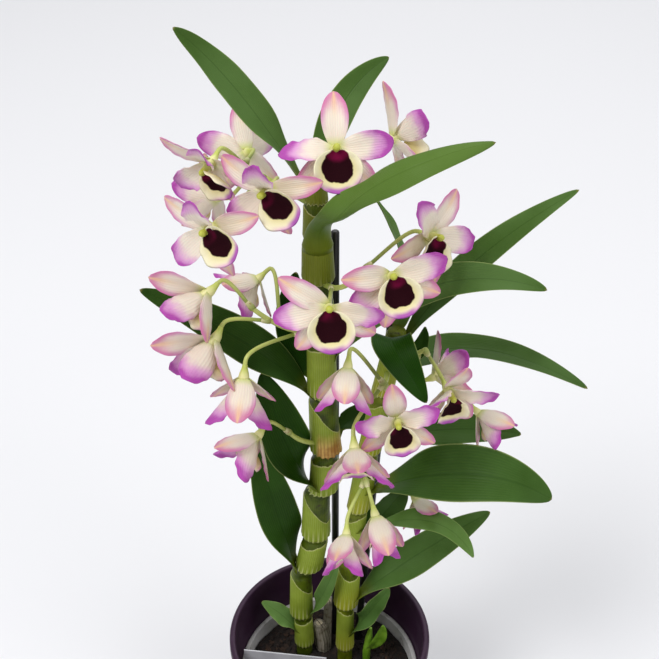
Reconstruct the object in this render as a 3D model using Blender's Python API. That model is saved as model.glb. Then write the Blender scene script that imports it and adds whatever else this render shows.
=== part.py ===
"""Potted dendrobium orchid of the nobile type, in full flower.

Metres, Z up. The origin is the middle of the pot's flat base, and the plant is seen from -Y.
Tables below are in millimetres and degrees, measured from that origin.
"""

import math
import random

import bmesh
import bpy
import numpy as np
from mathutils import Matrix, Vector

MM = 0.001
GAP = 0.35 * MM

# Pots and substrate, as radius and height
POT_HEIGHT = 128 * MM
POT_RIM_RADIUS = 70 * MM
POT_BASE_RADIUS = 62 * MM
POT_WALL = 2.0 * MM
POT_FLOOR = 4.0 * MM
INNER_POT_TOP = 92 * MM
INNER_POT_RIM_RADIUS = 63.4 * MM
INNER_POT_BASE_RADIUS = 57 * MM
INNER_POT_WALL = 1.2 * MM
SUBSTRATE_TOP = 83 * MM
HOLE_DEPTH = 22 * MM
POT_SIDES = 32

# Canes: each internode is bottom, top, middle x at the bottom, middle x at the top, radius
CANE_SIDES = 10
CANE_FOOT = 61.5
MAIN_CANE_Y = ((60, 20), (300, 20), (470, 22))
MAIN_CANE = (
    (94, 119, -18.4, -18.8, 6.3),
    (126, 166, -20.2, -19.6, 7.5),
    (175, 200, -14.0, -9.8, 8.7),
    (206, 243, -9.2, -8.2, 8.9),
    (248, 274, -3.8, -3.0, 8.8),
    (283, 322, -2.6, -3.8, 9.0),
    (328, 364, -4.4, -5.0, 8.4),
    (370, 404, -5.8, -6.2, 8.2),
    (410, 433, -6.4, -6.8, 8.6),
    (438, 457, -7.0, -7.2, 7.0),
    (460, 472, -7.2, -7.4, 5.6),
)
SECOND_CANE_Y = ((60, 13), (240, 13), (372, 21))
SECOND_CANE = (
    (98, 138, 11.2, 11.2, 5.8),
    (144, 186, 11.5, 13.6, 7.8),
    (192, 232, 14.4, 18.0, 6.6),
    (237, 280, 19.0, 24.4, 6.8),
    (285, 325, 25.4, 31.4, 6.6),
    (330, 372, 32.4, 39.6, 6.0),
)

# Flower stalks: name of the cane, then points from inside the cane to the tip
STALK_RADIUS = 1.7 * MM
PEDICEL_RADIUS = 1.25 * MM
STALKS = {
    "top_left": ("main", (-8, 20, 456), (-28, 26, 466), (-46, 32, 475)),
    "crown": ("main", (-7, 22, 466), (4, 29, 482), (18, 32, 492)),
    "left": ("main", (-6, 20, 372), (-24, 7, 384), (-43, 5, 399)),
    "low_left": ("main", (-4, 20, 286), (-16, 9, 297), (-24, 4, 308)),
    "right": ("main", (-6, 21, 408), (6, 4, 414), (19, 1, 428)),
    "front": ("second", (35, 18, 346), (33, 2, 350), (31, -8, 356)),
    "far_right": ("second", (37, 19, 356), (45, 2, 368), (54, -4, 377)),
    "far_low": ("second", (27, 18, 298), (50, 16, 306), (72, 14, 314)),
    "low_right": ("second", (22, 13, 262), (21, -2, 272), (22, -9, 282)),
    "low_back": ("second", (19, 14, 236), (32, 19, 248), (42, 20, 251)),
}

# Blooms: stalk and place along it, middle, facing (round from the front, up), roll,
# size, opening from 0 shut to 1 flat, and turns of dorsal, petals and lower sepals
BLOOM_LENGTH = 30 * MM
BLOOMS = {
    "bloom_top_left_1": ("top_left", 1.0, (-62, 14, 486), (-30, -25), 55, 0.95, 0.80, ()),
    "bloom_top_left_2": ("top_left", 0.55, (-31, -12, 484), (-20, 0), 65, 1.0, 0.95, ()),
    "bloom_top_left_3": ("top_left", 0.7, (-60, -18, 465), (-25, 5), 70, 1.0, 0.90, ()),
    "bloom_top_left_4": ("top_left", 0.85, (-63, 36, 453), (-130, -15), 25, 0.85, 0.60, ()),
    "bloom_top_left_5": ("top_left", 1.0, (-46, 54, 472), (-150, -30), 10, 0.95, 0.80, ()),
    "bloom_crown_1": ("crown", 0.5, (3, 0, 500), (5, 30), 0, 1.0, 1.0, ()),
    "bloom_crown_2": ("crown", 1.0, (33, 20, 497), (115, 10), -15, 0.95, 0.80, ()),
    "bloom_left_1": ("left", 1.0, (-68, 5, 410), (-60, -30), 40, 1.1, 0.50, ()),
    "bloom_left_2": ("left", 0.75, (-65, -5, 385), (-40, -40), 40, 1.15, 0.50, ()),
    "bloom_left_3": ("left", 0.3, (-48, -20, 369), (-15, -65), -15, 1.1, 0.50, ()),
    "bloom_left_4": ("left", 0.6, (-42, 36, 399), (-75, -40), -30, 0.9, 0.60, ()),
    "bloom_low_left_1": ("low_left", 1.0, (-43, -8, 316), (-50, -40), 0, 1.0, 0.45, ()),
    "bloom_right_1": ("right", 0.3, (0, -35, 427), (0, 25), 5, 1.0, 1.0, (50, 25, -35, 0, 10)),
    "bloom_right_2": ("right", 1.0, (33, -15, 434), (5, 25), 15, 1.0, 0.95, (70, 40, -20, 15, 10)),
    "bloom_right_3": ("right", 1.0, (54, 10, 444), (40, 10), -45, 1.0, 0.85, ()),
    "bloom_front_1": ("front", 1.0, (10, -24, 379), (-10, -50), -5, 1.0, 0.45, ()),
    "bloom_front_2": ("front", 0.8, (38, -30, 347), (5, 5), 10, 0.92, 0.80, (0, 0, 0, -18, 0)),
    "bloom_front_3": ("front", 0.9, (14, -40, 334), (5, -40), 5, 1.05, 0.55, ()),
    "bloom_far_right_1": ("far_right", 0.8, (62, 9, 348), (115, 10), -35, 0.9, 0.55, ()),
    "bloom_far_right_2": ("far_right", 1.0, (68, -10, 353), (20, -15), -5, 0.95, 0.70, ()),
    "bloom_far_right_3": ("far_low", 1.0, (91, 11, 318), (60, -35), 20, 0.85, 0.40, ()),
    "bloom_low_right_1": ("low_back", 1.0, (56, 15, 241), (40, -40), 10, 0.8, 0.50, ()),
    "bloom_low_right_2": ("low_right", 1.0, (28, -26, 267), (20, -45), 10, 1.0, 0.30, ()),
    "bloom_low_right_3": ("low_right", 0.9, (10, -36, 261), (-5, -35), 15, 0.95, 0.40, ()),
}

# Leaves: cane, height and side of the joint, middle, tip, where the upper face looks, width
LEAF_ROWS = (0, 0.12, 0.28, 0.46, 0.64, 0.80, 0.92)
LEAF_FOLD = 0.28
LEAF_THICKNESS = 1.2 * MM
LEAF_ROOM = 1.5 * MM
LEAVES = {
    "leaf_top_1": ("main", 466, -75, (-46, 30, 516), (-77, 20, 556), (20, 30), 18),
    "leaf_top_2": ("main", 464, 150, (6, 47, 501), (32, 60, 525), (-10, 20), 18),
    "leaf_top_3": ("main", 428, 5, (19, -35, 495), (78, -35, 521), (0, 60), 21),
    "leaf_top_4": ("second", 366, 175, (44, 46, 400), (26, 50, 445), (75, 20), 14),
    "leaf_right_1": ("second", 364, 95, (81, 30, 412), (137, 30, 461), (-5, 55), 18),
    "leaf_right_2": ("main", 352, 105, (56, 10, 410), (118, -8, 420), (0, 60), 23),
    "leaf_right_3": ("second", 340, 145, (92, 46, 340), (154, 8, 339), (-10, 85), 23),
    "leaf_right_4": ("second", 368, 0, (36, -12, 385), (54, -32, 361), (0, 40), 23),
    "leaf_right_5": ("second", 350, 90, (53, 19, 360), (56, 20, 376), (-20, 30), 10),
    "leaf_right_6": ("second", 289, 125, (81, 36, 283), (123, 30, 284), (0, 60), 22),
    "leaf_low_right_1": ("second", 252, 60, (83, -10, 287), (134, -25, 280), (0, 50), 36),
    "leaf_low_right_2": ("second", 150, 80, (63, 28, 177), (112, 45, 200), (5, 45), 25),
    "leaf_low_right_3": ("second", 218, 45, (64, -4, 240), (92, -18, 222), (0, 75), 16),
    "leaf_low_right_4": ("second", 205, 110, (40, 27, 223), (50, 31, 236), (20, 20), 20),
    "leaf_mid_1": ("main", 290, 120, (14, 36, 292), (27, 46, 297), (0, 45), 14),
    "leaf_left_1": ("main", 326, -80, (-51, 26, 360), (-110, 26, 398), (10, 50), 26),
    "leaf_left_2": ("main", 250, -60, (-28, 12, 297), (-41, 20, 342), (20, 25), 31),
    "leaf_left_3": ("main", 172, -90, (-36, 24, 225), (-49, 36, 272), (15, 25), 28),
    "leaf_left_4": ("main", 330, 175, (-21, 48, 354), (-20, 53, 393), (0, 15), 24),
    "leaf_foot_1": ("main", 108, -60, (-34, 22, 118), (-49, 28, 126), (5, 70), 14),
    "leaf_foot_2": ("main", 124, 60, (-3, 6, 164), (6, 2, 199), (-20, 10), 11),
    "leaf_foot_3": ("second", 112, 60, (29, 2, 149), (41, 4, 168), (15, 25), 14),
}

# Sepals and petals of one flower: turn from the top, share of the length, width,
# and layer, 1 for the petals in front and -1 for the sepals behind
TEPAL_THICKNESS = 1.0 * MM
TEPAL_LAYER = 0.9 * MM
TEPAL_ROWS = (0, 0.27, 0.56, 0.83, 1)
PETAL_WAVE = 1.0 * MM
WAVED_FROM_OPENING = 0.75
TEPALS = (
    (0, 1.0, 15.5, -1),
    (70, 1.0, 17.0, 1),
    (-70, 1.0, 17.0, 1),
    (138, 0.95, 13.0, -1),
    (-138, 0.95, 13.0, -1),
)

# How far tepals rise from flat and bend back, in degrees, in an open and in a shut flower
OPEN_RISE = 14
SHUT_RISE = 76
LAYER_RISE = 4
OPEN_BEND = 42
SHUT_BEND = -20
TEPAL_CUP = 0.15
SHUT_PETAL_CUP = 0.5

# Lip: points round it, middle when open, shift of the middle and shrinking when shut
LIP_SIDES = 10
LIP_MIDDLE = (0, -8.5, 5)
LIP_SHUT_SHIFT = (0, 6, 9)
LIP_SHRINK = 0.75
LIP_THICKNESS = 1.1 * MM

# Middle of one flower from its back to the column's end: height, offset up, radius
CORE_SIDES = 5
CORE = ((-7, 0, 1.8), (-2.5, -0.5, 3.4), (3.0, 0, 3.2), (10.5, 0.8, 1.9))

# Stakes, their clip, and the places of the smaller pieces
STAKE_RADIUS = 2.5 * MM
MAIN_STAKE = ((4.5, 37, CANE_FOOT), (3.2, 37, 431))
SECOND_STAKE = ((20, 33, CANE_FOOT), (37, 34, 372))
CLIP = ((4, 35, 183), (8, 27, 186), (7, 20, 190))
LABEL_PLACE = (-31, -13)

# Holes in the bark for the stubs, stakes, shoot and label: x, y, radius, sides
SMALL_HOLES = (
    (-4.5, 26, 8.2, 8),
    (4.5, 37, 2.9, 8),
    (21, 33, 3.4, 8),
    (27, 12, 3.0, 7),
    (-31, -13, 2.6, 6),
)

COLOURS = {
    "pot_plastic": ((0.045, 0.028, 0.050), 0.45),
    "inner_pot_plastic": ((0.32, 0.32, 0.31), 0.55),
    "bark": ((0.035, 0.018, 0.010), 0.95),
    "stake_plastic": ((0.008, 0.008, 0.010), 0.40),
    "card": ((0.60, 0.60, 0.62), 0.60),
    "cane_green": ((0.20, 0.26, 0.04), 0.50),
    "second_cane_green": ((0.26, 0.32, 0.04), 0.50),
    "stub_bark": ((0.25, 0.20, 0.14), 0.90),
    "shoot_green": ((0.16, 0.28, 0.03), 0.50),
    "leaf_green": ((0.035, 0.10, 0.012), 0.38),
    "petal": ((0.75, 0.52, 0.62), 0.55),
}


def clear_scene():
    """Start from an empty file."""
    for thing in list(bpy.data.objects):
        bpy.data.objects.remove(thing)


def material(name):
    """The finish of one kind of piece."""
    colour, roughness = COLOURS[name]
    made = bpy.data.materials.get(name) or bpy.data.materials.new(name)
    made.use_nodes = True
    shader = made.node_tree.nodes["Principled BSDF"]
    shader.inputs["Base Color"].default_value = (*colour, 1)
    shader.inputs["Roughness"].default_value = roughness
    shader.inputs["Metallic"].default_value = 0
    return made


def finish(thing, name, finish_name):
    """Name a finished solid and give it its one material."""
    thing.name = name
    thing.data.name = name
    thing.data.materials.clear()
    thing.data.materials.append(material(finish_name))
    return thing


def solid(points, faces):
    """An object from points and faces, with its faces turned outward."""
    mesh = bpy.data.meshes.new("solid")
    mesh.from_pydata([tuple(point) for point in points], [], faces)
    shape = bmesh.new()
    shape.from_mesh(mesh)
    bmesh.ops.recalc_face_normals(shape, faces=shape.faces)
    shape.to_mesh(mesh)
    shape.free()
    thing = bpy.data.objects.new("solid", mesh)
    bpy.context.scene.collection.objects.link(thing)
    return thing


def keep_largest(mesh):
    """Drop loose scraps and fill sealed hollows, which leaves the one largest skin."""
    shape = bmesh.new()
    shape.from_mesh(mesh)
    waiting = set(shape.faces)
    skins = []
    while waiting:
        skin = {waiting.pop()}
        edge = list(skin)
        while edge:
            near = {face for link in edge.pop().edges for face in link.link_faces} - skin
            skin |= near
            edge += near
        waiting -= skin
        skins.append(skin)
    skins.sort(key=len)
    spare = [face for skin in skins[:-1] for face in skin]
    bmesh.ops.delete(shape, geom=spare, context="FACES")
    shape.to_mesh(mesh)
    shape.free()


def combine(host, pieces, operation):
    """Join the pieces to the host, or cut them from it, and remove them."""
    group = bpy.data.collections.new("pieces")
    for piece in pieces:
        group.objects.link(piece)
    step = host.modifiers.new("combine", "BOOLEAN")
    step.operation = operation
    step.operand_type = "COLLECTION"
    step.collection = group
    step.solver = "EXACT"
    graph = bpy.context.evaluated_depsgraph_get()
    host.data = bpy.data.meshes.new_from_object(host.evaluated_get(graph))
    host.modifiers.clear()
    keep_largest(host.data)
    for piece in pieces:
        bpy.data.objects.remove(piece)
    bpy.data.collections.remove(group)
    return host


def loft(rings):
    """A skin over rings of as many points each, with a flat cap at each end."""
    sides = len(rings[0])
    points = [point for ring in rings for point in ring]
    faces = []
    for row in range(len(rings) - 1):
        for side in range(sides):
            near = row * sides
            far = near + sides
            after = (side + 1) % sides
            faces.append((near + side, near + after, far + after, far + side))
    faces.append(tuple(range(sides)))
    faces.append(tuple(range(len(points) - sides, len(points))))
    return solid(points, faces)


def circle(middle, radius, sides, start=0):
    """A level ring of points, the first at the start angle."""
    turns = [math.radians(start) + 2 * math.pi * side / sides for side in range(sides)]
    return [Vector(middle) + radius * Vector((math.cos(a), math.sin(a), 0)) for a in turns]


def turned(profile, sides):
    """A round piece from radius and height pairs, closed flat at both ends."""
    return loft([circle((0, 0, height), radius, sides) for radius, height in profile])


def tube(path, radii, sides):
    """A round bar along a path, its rings carried along without twist."""
    rings = []
    across = None
    for place, middle in enumerate(path):
        ahead = path[min(place + 1, len(path) - 1)] - path[max(place - 1, 0)]
        ahead.normalize()
        if across is None:
            across = ahead.orthogonal()
        across = (across - ahead * across.dot(ahead)).normalized()
        upward = ahead.cross(across)
        turns = [2 * math.pi * side / sides for side in range(sides)]
        spokes = [math.cos(a) * across + math.sin(a) * upward for a in turns]
        rings.append([middle + radii[place] * spoke for spoke in spokes])
    return loft(rings)


def facing_way(facing):
    """The direction that an angle round from the front and an angle up point in."""
    around, up = (math.radians(angle) for angle in facing)
    return Vector((math.sin(around) * math.cos(up), -math.cos(around) * math.cos(up), math.sin(up)))


def curve_through(first, middle, last, part):
    """A point on the smooth arc that passes the middle point half way."""
    pull = 2 * middle - (first + last) / 2
    return first * (1 - part) ** 2 + pull * 2 * part * (1 - part) + last * part**2


def blade(rows, tip, thickness):
    """A closed thin blade over a grid of rows, with a sharp edge all round."""
    across = len(rows[0])
    points = []
    faces = []
    upper = {}
    lower = {}
    for i, row in enumerate(rows):
        for j, point in enumerate(row):
            upper[i, j] = lower[i, j] = len(points)
            if i == 0 or j in (0, across - 1):
                points.append(point)
                continue
            beyond = rows[i + 1][j] if i + 1 < len(rows) else tip
            lift = (beyond - rows[i - 1][j]).cross(row[j + 1] - row[j - 1]).normalized()
            points.append(point + lift * thickness / 2)
            lower[i, j] = len(points)
            points.append(point - lift * thickness / 2)
    end = len(points)
    points.append(tip)
    for grid in (upper, lower):
        for i in range(len(rows) - 1):
            for j in range(across - 1):
                a, b, c, d = grid[i, j], grid[i + 1, j], grid[i + 1, j + 1], grid[i, j + 1]
                faces += [(a, b, c), (a, c, d)] if j < across // 2 else [(a, b, d), (b, c, d)]
        last = len(rows) - 1
        faces += [(grid[last, j], end, grid[last, j + 1]) for j in range(across - 1)]
    return solid(points, faces)


def outline(part, peak, fullness):
    """Half width of a blade as a share of its widest, narrow at the root, none at the tip."""
    return math.sin(math.pi * part**peak) ** fullness


def make_pots():
    """The outer pot with its rolled rim, and the growing pot that stands in it."""
    wall_top = POT_HEIGHT - 9 * MM
    under_rim = POT_RIM_RADIUS - 2.4 * MM
    inside = under_rim - POT_WALL
    profile = (
        (POT_BASE_RADIUS - 2 * MM, 0),
        (POT_BASE_RADIUS, 2 * MM),
        (under_rim, wall_top),
        (POT_RIM_RADIUS, wall_top + 1.5 * MM),
        (POT_RIM_RADIUS, POT_HEIGHT - 1.2 * MM),
        (POT_RIM_RADIUS - 1.4 * MM, POT_HEIGHT),
        (inside + 0.8 * MM, POT_HEIGHT),
        (inside, POT_HEIGHT - 1.2 * MM),
        (POT_BASE_RADIUS - POT_WALL, POT_FLOOR),
    )
    finish(turned(profile, POT_SIDES), "pot_outer", "pot_plastic")

    foot = POT_FLOOR + GAP
    neck = INNER_POT_RIM_RADIUS - 2.2 * MM
    lining = neck - INNER_POT_WALL
    profile = (
        (INNER_POT_BASE_RADIUS, foot),
        (neck, INNER_POT_TOP - 6 * MM),
        (INNER_POT_RIM_RADIUS, INNER_POT_TOP - 4 * MM),
        (INNER_POT_RIM_RADIUS, INNER_POT_TOP - 0.8 * MM),
        (INNER_POT_RIM_RADIUS - 0.8 * MM, INNER_POT_TOP),
        (lining, INNER_POT_TOP),
        (INNER_POT_BASE_RADIUS - INNER_POT_WALL, foot + INNER_POT_WALL),
    )
    finish(turned(profile, POT_SIDES), "pot_inner", "inner_pot_plastic")


def substrate_height(x, y):
    """The lumpy top of the bark, by a formula."""
    waves = math.sin(x / (5.5 * MM) + 1.0) * math.cos(y / (6.5 * MM))
    return SUBSTRATE_TOP + 1.2 * MM * waves


def make_substrate(holes):
    """Bark and soil that fill the inner pot, with a plain hole for each stem."""
    floor = POT_FLOOR + 2 * GAP + INNER_POT_WALL
    wide = INNER_POT_RIM_RADIUS - 2.2 * MM - INNER_POT_WALL - GAP
    top_radius = wide - 0.5 * MM
    rings = [circle((0, 0, floor), INNER_POT_BASE_RADIUS - INNER_POT_WALL - GAP, POT_SIDES)]
    for share in (1.0, 0.75, 0.45, 0.15):
        ring = circle((0, 0, 0), top_radius * share, POT_SIDES)
        for point in ring:
            point.z = substrate_height(point.x, point.y) - (2 * MM if share == 1.0 else 0)
        rings.append(ring)
    bark = loft(rings)
    combine(bark, holes, "DIFFERENCE")
    finish(bark, "substrate", "bark")


def hole(place, radius, sides):
    """A cutter for the plain hole that a stem stands in."""
    bottom = SUBSTRATE_TOP - HOLE_DEPTH
    ends = [(place[0], place[1], z) for z in (bottom, bottom + 2 * HOLE_DEPTH)]
    return loft([circle(end, radius + GAP, sides) for end in ends])


def cane_rings(internodes, sway):
    """Middle and radius of each ring of a cane, with sheaths that flare over each joint."""
    heights = [height for height, _ in sway]
    offsets = [offset for _, offset in sway]
    first = internodes[0]
    stations = [(CANE_FOOT, first[2], first[4] * 0.92), (first[0] - 3, first[2], first[4] * 0.92)]
    for bottom, top, x_bottom, x_top, radius in internodes:
        stations.append((bottom, x_bottom, radius * 1.05))
        stations.append((top - 1, x_top, radius * 0.97))
        stations.append((top + 1.5, x_top, radius * 0.84))
    return [
        (Vector((x, float(np.interp(z, heights, offsets)), z)) * MM, radius * MM)
        for z, x, radius in stations
    ]


def cane_at(rings, height):
    """Middle and radius of a cane at a height."""
    heights = [middle.z for middle, _ in rings]
    x = np.interp(height, heights, [middle.x for middle, _ in rings])
    y = np.interp(height, heights, [middle.y for middle, _ in rings])
    radius = np.interp(height, heights, [radius for _, radius in rings])
    return Vector((float(x), float(y), height)), float(radius)


def stalk_point(stalk, part):
    """A point on a flower stalk, from its root at 0 to its tip at 1."""
    first, middle, last = (Vector(point) * MM for point in STALKS[stalk][1:])
    return curve_through(first, middle, last, part)


def make_stalk(stalk):
    """A flower stalk that tapers from inside its cane."""
    parts = (0, 0.25, 0.5, 0.75, 1)
    path = [stalk_point(stalk, part) for part in parts]
    radii = [STALK_RADIUS * (1 - 0.2 * part) for part in parts]
    return tube(path, radii, 5)


def bloom_frame(middle, facing, roll):
    """Local X right, Y towards the dorsal sepal and Z out of the face, as a matrix."""
    out = facing_way(facing)
    side = Vector((0, 0, 1)).cross(out).normalized()
    top = out.cross(side)
    turn = Matrix.Rotation(math.radians(roll), 3, out)
    frame = Matrix((turn @ side, turn @ top, out)).transposed().to_4x4()
    frame.translation = Vector(middle) * MM
    return frame


def make_pedicel(name):
    """The thin stem from the flower stalk to just behind a bloom."""
    stalk, part, middle, facing, roll, size = BLOOMS[name][:6]
    frame = bloom_frame(middle, facing, roll)
    start = stalk_point(stalk, part)
    out = (frame.to_3x3() @ Vector((0, 0, 1))).normalized()
    seat = frame.translation + out * (CORE[0][0] * size * MM - GAP)
    end = seat - out * 2.5 * MM
    reach = 0.4 * (end - start).length
    pull = end - out * reach
    lift = start.lerp(end, 0.3) + Vector((0, 0, 0.15 * reach))
    path = []
    for step in (0, 0.35, 0.7, 1):
        left = start.lerp(lift, step)
        centre = lift.lerp(pull, step)
        right = pull.lerp(end, step)
        path.append(left.lerp(centre, step).lerp(centre.lerp(right, step), step))
    path.append(seat)
    return tube(path, [PEDICEL_RADIUS] * len(path), 4)


def make_cane(name, cane, rings, finish_name):
    """One cane, with its flower stalks and their pedicels grown to it."""
    body = loft([circle(middle, radius, CANE_SIDES) for middle, radius in rings])
    grown = [make_stalk(stalk) for stalk, plan in STALKS.items() if plan[0] == cane]
    for bloom, plan in BLOOMS.items():
        if STALKS[plan[0]][0] == cane:
            grown.append(make_pedicel(bloom))
    combine(body, grown, "UNION")
    return finish(body, name, finish_name)


def tepal(turn, length, width, layer, rise, bend, cup, twist, wave):
    """A sepal or petal from the middle of the flower, curved along and across."""
    angle = math.radians(turn)
    outward = Vector((-math.sin(angle), math.cos(angle), 0))
    side = Vector((-math.cos(angle), -math.sin(angle), 0))
    slope = math.radians(rise)
    middle = outward * (1.0 * MM - layer * math.sin(slope))
    middle.z = layer * math.cos(slope)
    shares = (-1, -0.5, 0, 0.5, 1) if wave else (-1, 0, 1)
    rows = []
    before = 0
    for place, part in enumerate(TEPAL_ROWS):
        slope = math.radians(rise - bend * (part + before) / 2)
        along = outward * math.cos(slope) + Vector((0, 0, math.sin(slope)))
        middle = middle + along * (part - before) * length
        before = part
        if part == 1:
            break
        across = Matrix.Rotation(math.radians(twist) * part, 3, along) @ side
        normal = along.cross(across)
        half = width / 2 * outline(0.04 + 0.96 * part, 1.2, 0.7)
        row = []
        for share in shares:
            lift = cup * half * share**2
            lift += wave * share**3 * math.cos(math.pi * place)
            row.append(middle + across * half * share + normal * lift)
        rows.append(row)
    return blade(rows, middle, TEPAL_THICKNESS)


def lip(shut):
    """The cupped lip: a round dish below the column, smaller and further out when shut."""
    sides = LIP_SIDES
    size = 1 - LIP_SHRINK * shut
    middle = (Vector(LIP_MIDDLE) + Vector(LIP_SHUT_SHIFT) * shut) * MM
    rows = []
    for share, depth in ((0.55, 0.28), (1.0, 1.0)):
        ring = []
        for side in range(sides):
            angle = 2 * math.pi * side / sides
            down = math.cos(angle)
            reach = 11.2 + 3.0 * down + 1.6 * math.sin(angle) ** 2
            reach *= size if down > -0.5 else 1
            rim = 7.5 * math.sin(angle) ** 2 + (4.0 if down > 0 else 1.0) * down**2
            rim += 0.6 * math.cos(5 * angle) * share
            place = Vector((math.sin(angle) * reach, -down * reach, 0)) * share
            place.z = rim * depth
            ring.append(middle + place * MM)
        rows.append(ring)
    thick = Vector((0, 0, LIP_THICKNESS / 2))
    points = [middle + thick, middle - thick]
    points += [point + thick for point in rows[0]] + [point - thick for point in rows[0]] + rows[1]
    faces = []
    for face, ring in ((0, 2), (1, 2 + sides)):
        for side in range(sides):
            after = (side + 1) % sides
            rim = 2 + 2 * sides
            faces.append((face, ring + side, ring + after))
            faces.append((ring + side, rim + side, rim + after))
            faces.append((ring + side, rim + after, ring + after))
    return solid(points, faces)


def make_bloom(name):
    """One flower: three sepals, two petals waved where it is open, the lip and the column."""
    _, _, middle, facing, roll, size, opening, swings = BLOOMS[name]
    chance = random.Random(name)
    core = loft([circle(Vector((0, y, z)) * MM, r * MM, CORE_SIDES, -18) for z, y, r in CORE])
    shut = 1 - opening
    pieces = [lip(shut)]
    for number, (turn, share, width, layer) in enumerate(TEPALS):
        swing = swings[number] if swings else 0
        pieces.append(
            tepal(
                turn + swing + chance.uniform(-4, 4),
                BLOOM_LENGTH * share * chance.uniform(0.96, 1.03),
                width * (1 - 0.1 * shut) * MM,
                layer * TEPAL_LAYER,
                OPEN_RISE + (SHUT_RISE - OPEN_RISE) * shut + LAYER_RISE * layer + chance.uniform(-3, 3),
                OPEN_BEND * opening**2 + SHUT_BEND * shut,
                TEPAL_CUP + (SHUT_PETAL_CUP * shut if layer > 0 else 0),
                chance.uniform(-12, 12) * opening,
                PETAL_WAVE if layer > 0 and opening >= WAVED_FROM_OPENING else 0,
            )
        )
    combine(core, pieces, "UNION")
    core.data.transform(bloom_frame(middle, facing, roll) @ Matrix.Scale(size, 4))
    return finish(core, name, "petal")


def clear_of(point, rings, room):
    """Move a point out sideways until it has room beside a stem."""
    near = [cane_at(rings, point.z + step * MM) for step in (-4, 0, 4)]
    centre = near[1][0]
    away = Vector((point.x - centre.x, point.y - centre.y, 0))
    least = max(radius for _, radius in near) + room
    if away.length >= least or point.z > rings[-1][0].z:
        return point
    return centre + away.normalized() * least


def make_leaf(name, stems):
    """One leaf: a folded blade that turns from its joint through its middle to its tip."""
    cane, height, around, middle, tip, facing, width = LEAVES[name]
    outward = facing_way((around, 0))
    centre, radius = cane_at(stems[cane], height * MM)
    root = centre + outward * (radius + GAP)
    middle, tip = Vector(middle) * MM, Vector(tip) * MM
    face = facing_way(facing)
    at_root = (Vector((0, 0, 1)) - outward).normalized()
    rows = []
    for part in LEAF_ROWS:
        place = curve_through(root, middle, tip, part)
        ahead = curve_through(root, middle, tip, part + 0.01) - place
        upper = at_root.lerp(face, min(1, part / 0.46))
        side = ahead.cross(upper).normalized()
        normal = side.cross(ahead).normalized()
        half = width * MM / 2 * outline(0.03 + 0.97 * part, 0.88, 0.6)
        row = []
        for share in (-1, -0.55, 0, 0.55, 1):
            fold = LEAF_FOLD * half * abs(share) ** 1.3
            point = place + side * half * share + normal * fold
            if part or share:
                for rings in stems.values():
                    point = clear_of(point, rings, LEAF_ROOM)
            row.append(point)
        rows.append(row)
    return finish(blade(rows, tip, LEAF_THICKNESS), name, "leaf_green")


def make_stakes():
    """Two black plastic stakes behind the canes, the first with its clip."""
    stake = tube([Vector(p) * MM for p in MAIN_STAKE], [STAKE_RADIUS] * 2, 8)
    clip = tube([Vector(p) * MM for p in CLIP], [1.3 * MM] * len(CLIP), 5)
    combine(stake, [clip], "UNION")
    finish(stake, "stake_main", "stake_plastic")
    stake = tube([Vector(p) * MM for p in SECOND_STAKE], [STAKE_RADIUS] * 2, 8)
    finish(stake, "stake_second", "stake_plastic")


def make_label():
    """A plain card on a stem, stuck in the bark at the front left."""
    half = 29 * MM
    points = [(-half, 98), (-2.5 * MM, 92), (-2.5 * MM, 62), (2.5 * MM, 62), (2.5 * MM, 92)]
    points += [(half, 98), (half, 120), (-half, 120)]
    rings = []
    for depth in (-0.45 * MM, 0.45 * MM):
        rings.append([Vector((x, depth, z * MM)) for x, z in points])
    card = loft(rings)
    place = Matrix.Translation(Vector((*LABEL_PLACE, 0)) * MM)
    card.data.transform(place @ Matrix.Rotation(math.radians(-7), 4, "Z"))
    return finish(card, "label_card", "card")


def make_stubs():
    """Two cut stubs of old canes that share one foot."""
    front = loft(
        [
            circle(Vector((-4.5, 25, CANE_FOOT)) * MM, 5.2 * MM, 8),
            circle(Vector((-5, 25, 90)) * MM, 6.0 * MM, 8),
            circle(Vector((-7, 25, 104)) * MM, 5.2 * MM, 8),
            circle(Vector((-7.5, 25, 107)) * MM, 3.6 * MM, 8),
        ]
    )
    back = loft(
        [
            circle(Vector((-2.5, 29, CANE_FOOT + 4)) * MM, 3.4 * MM, 7),
            circle(Vector((-1.5, 30, 115)) * MM, 3.0 * MM, 7),
            circle(Vector((-1.2, 30, 127)) * MM, 3.2 * MM, 7),
        ]
    )
    combine(front, [back], "UNION")
    return finish(front, "old_cane_stubs", "stub_bark")


def make_shoot():
    """The young shoot at the right, with its first leaf grown to it."""
    stem = loft(
        [
            circle(Vector((27, 12, CANE_FOOT)) * MM, 2.4 * MM, 7),
            circle(Vector((27, 12, 92)) * MM, 3.0 * MM, 7),
            circle(Vector((28.5, 12, 108)) * MM, 2.6 * MM, 7),
            circle(Vector((29.5, 12, 117)) * MM, 1.2 * MM, 7),
        ]
    )
    rows = []
    root, middle, tip = (Vector(p) * MM for p in ((28, 12, 94), (35, 9, 108), (38, 9, 124)))
    for part in (0, 0.25, 0.5, 0.75):
        place = curve_through(root, middle, tip, part)
        half = 5.5 * MM * outline(0.1 + 0.9 * part, 0.9, 0.6)
        rows.append([place + Vector((half * s, -0.3 * half * s, 0.2 * half * s)) for s in (-1, 0, 1)])
    combine(stem, [blade(rows, tip, 1.2 * MM)], "UNION")
    return finish(stem, "young_shoot", "shoot_green")


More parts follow.
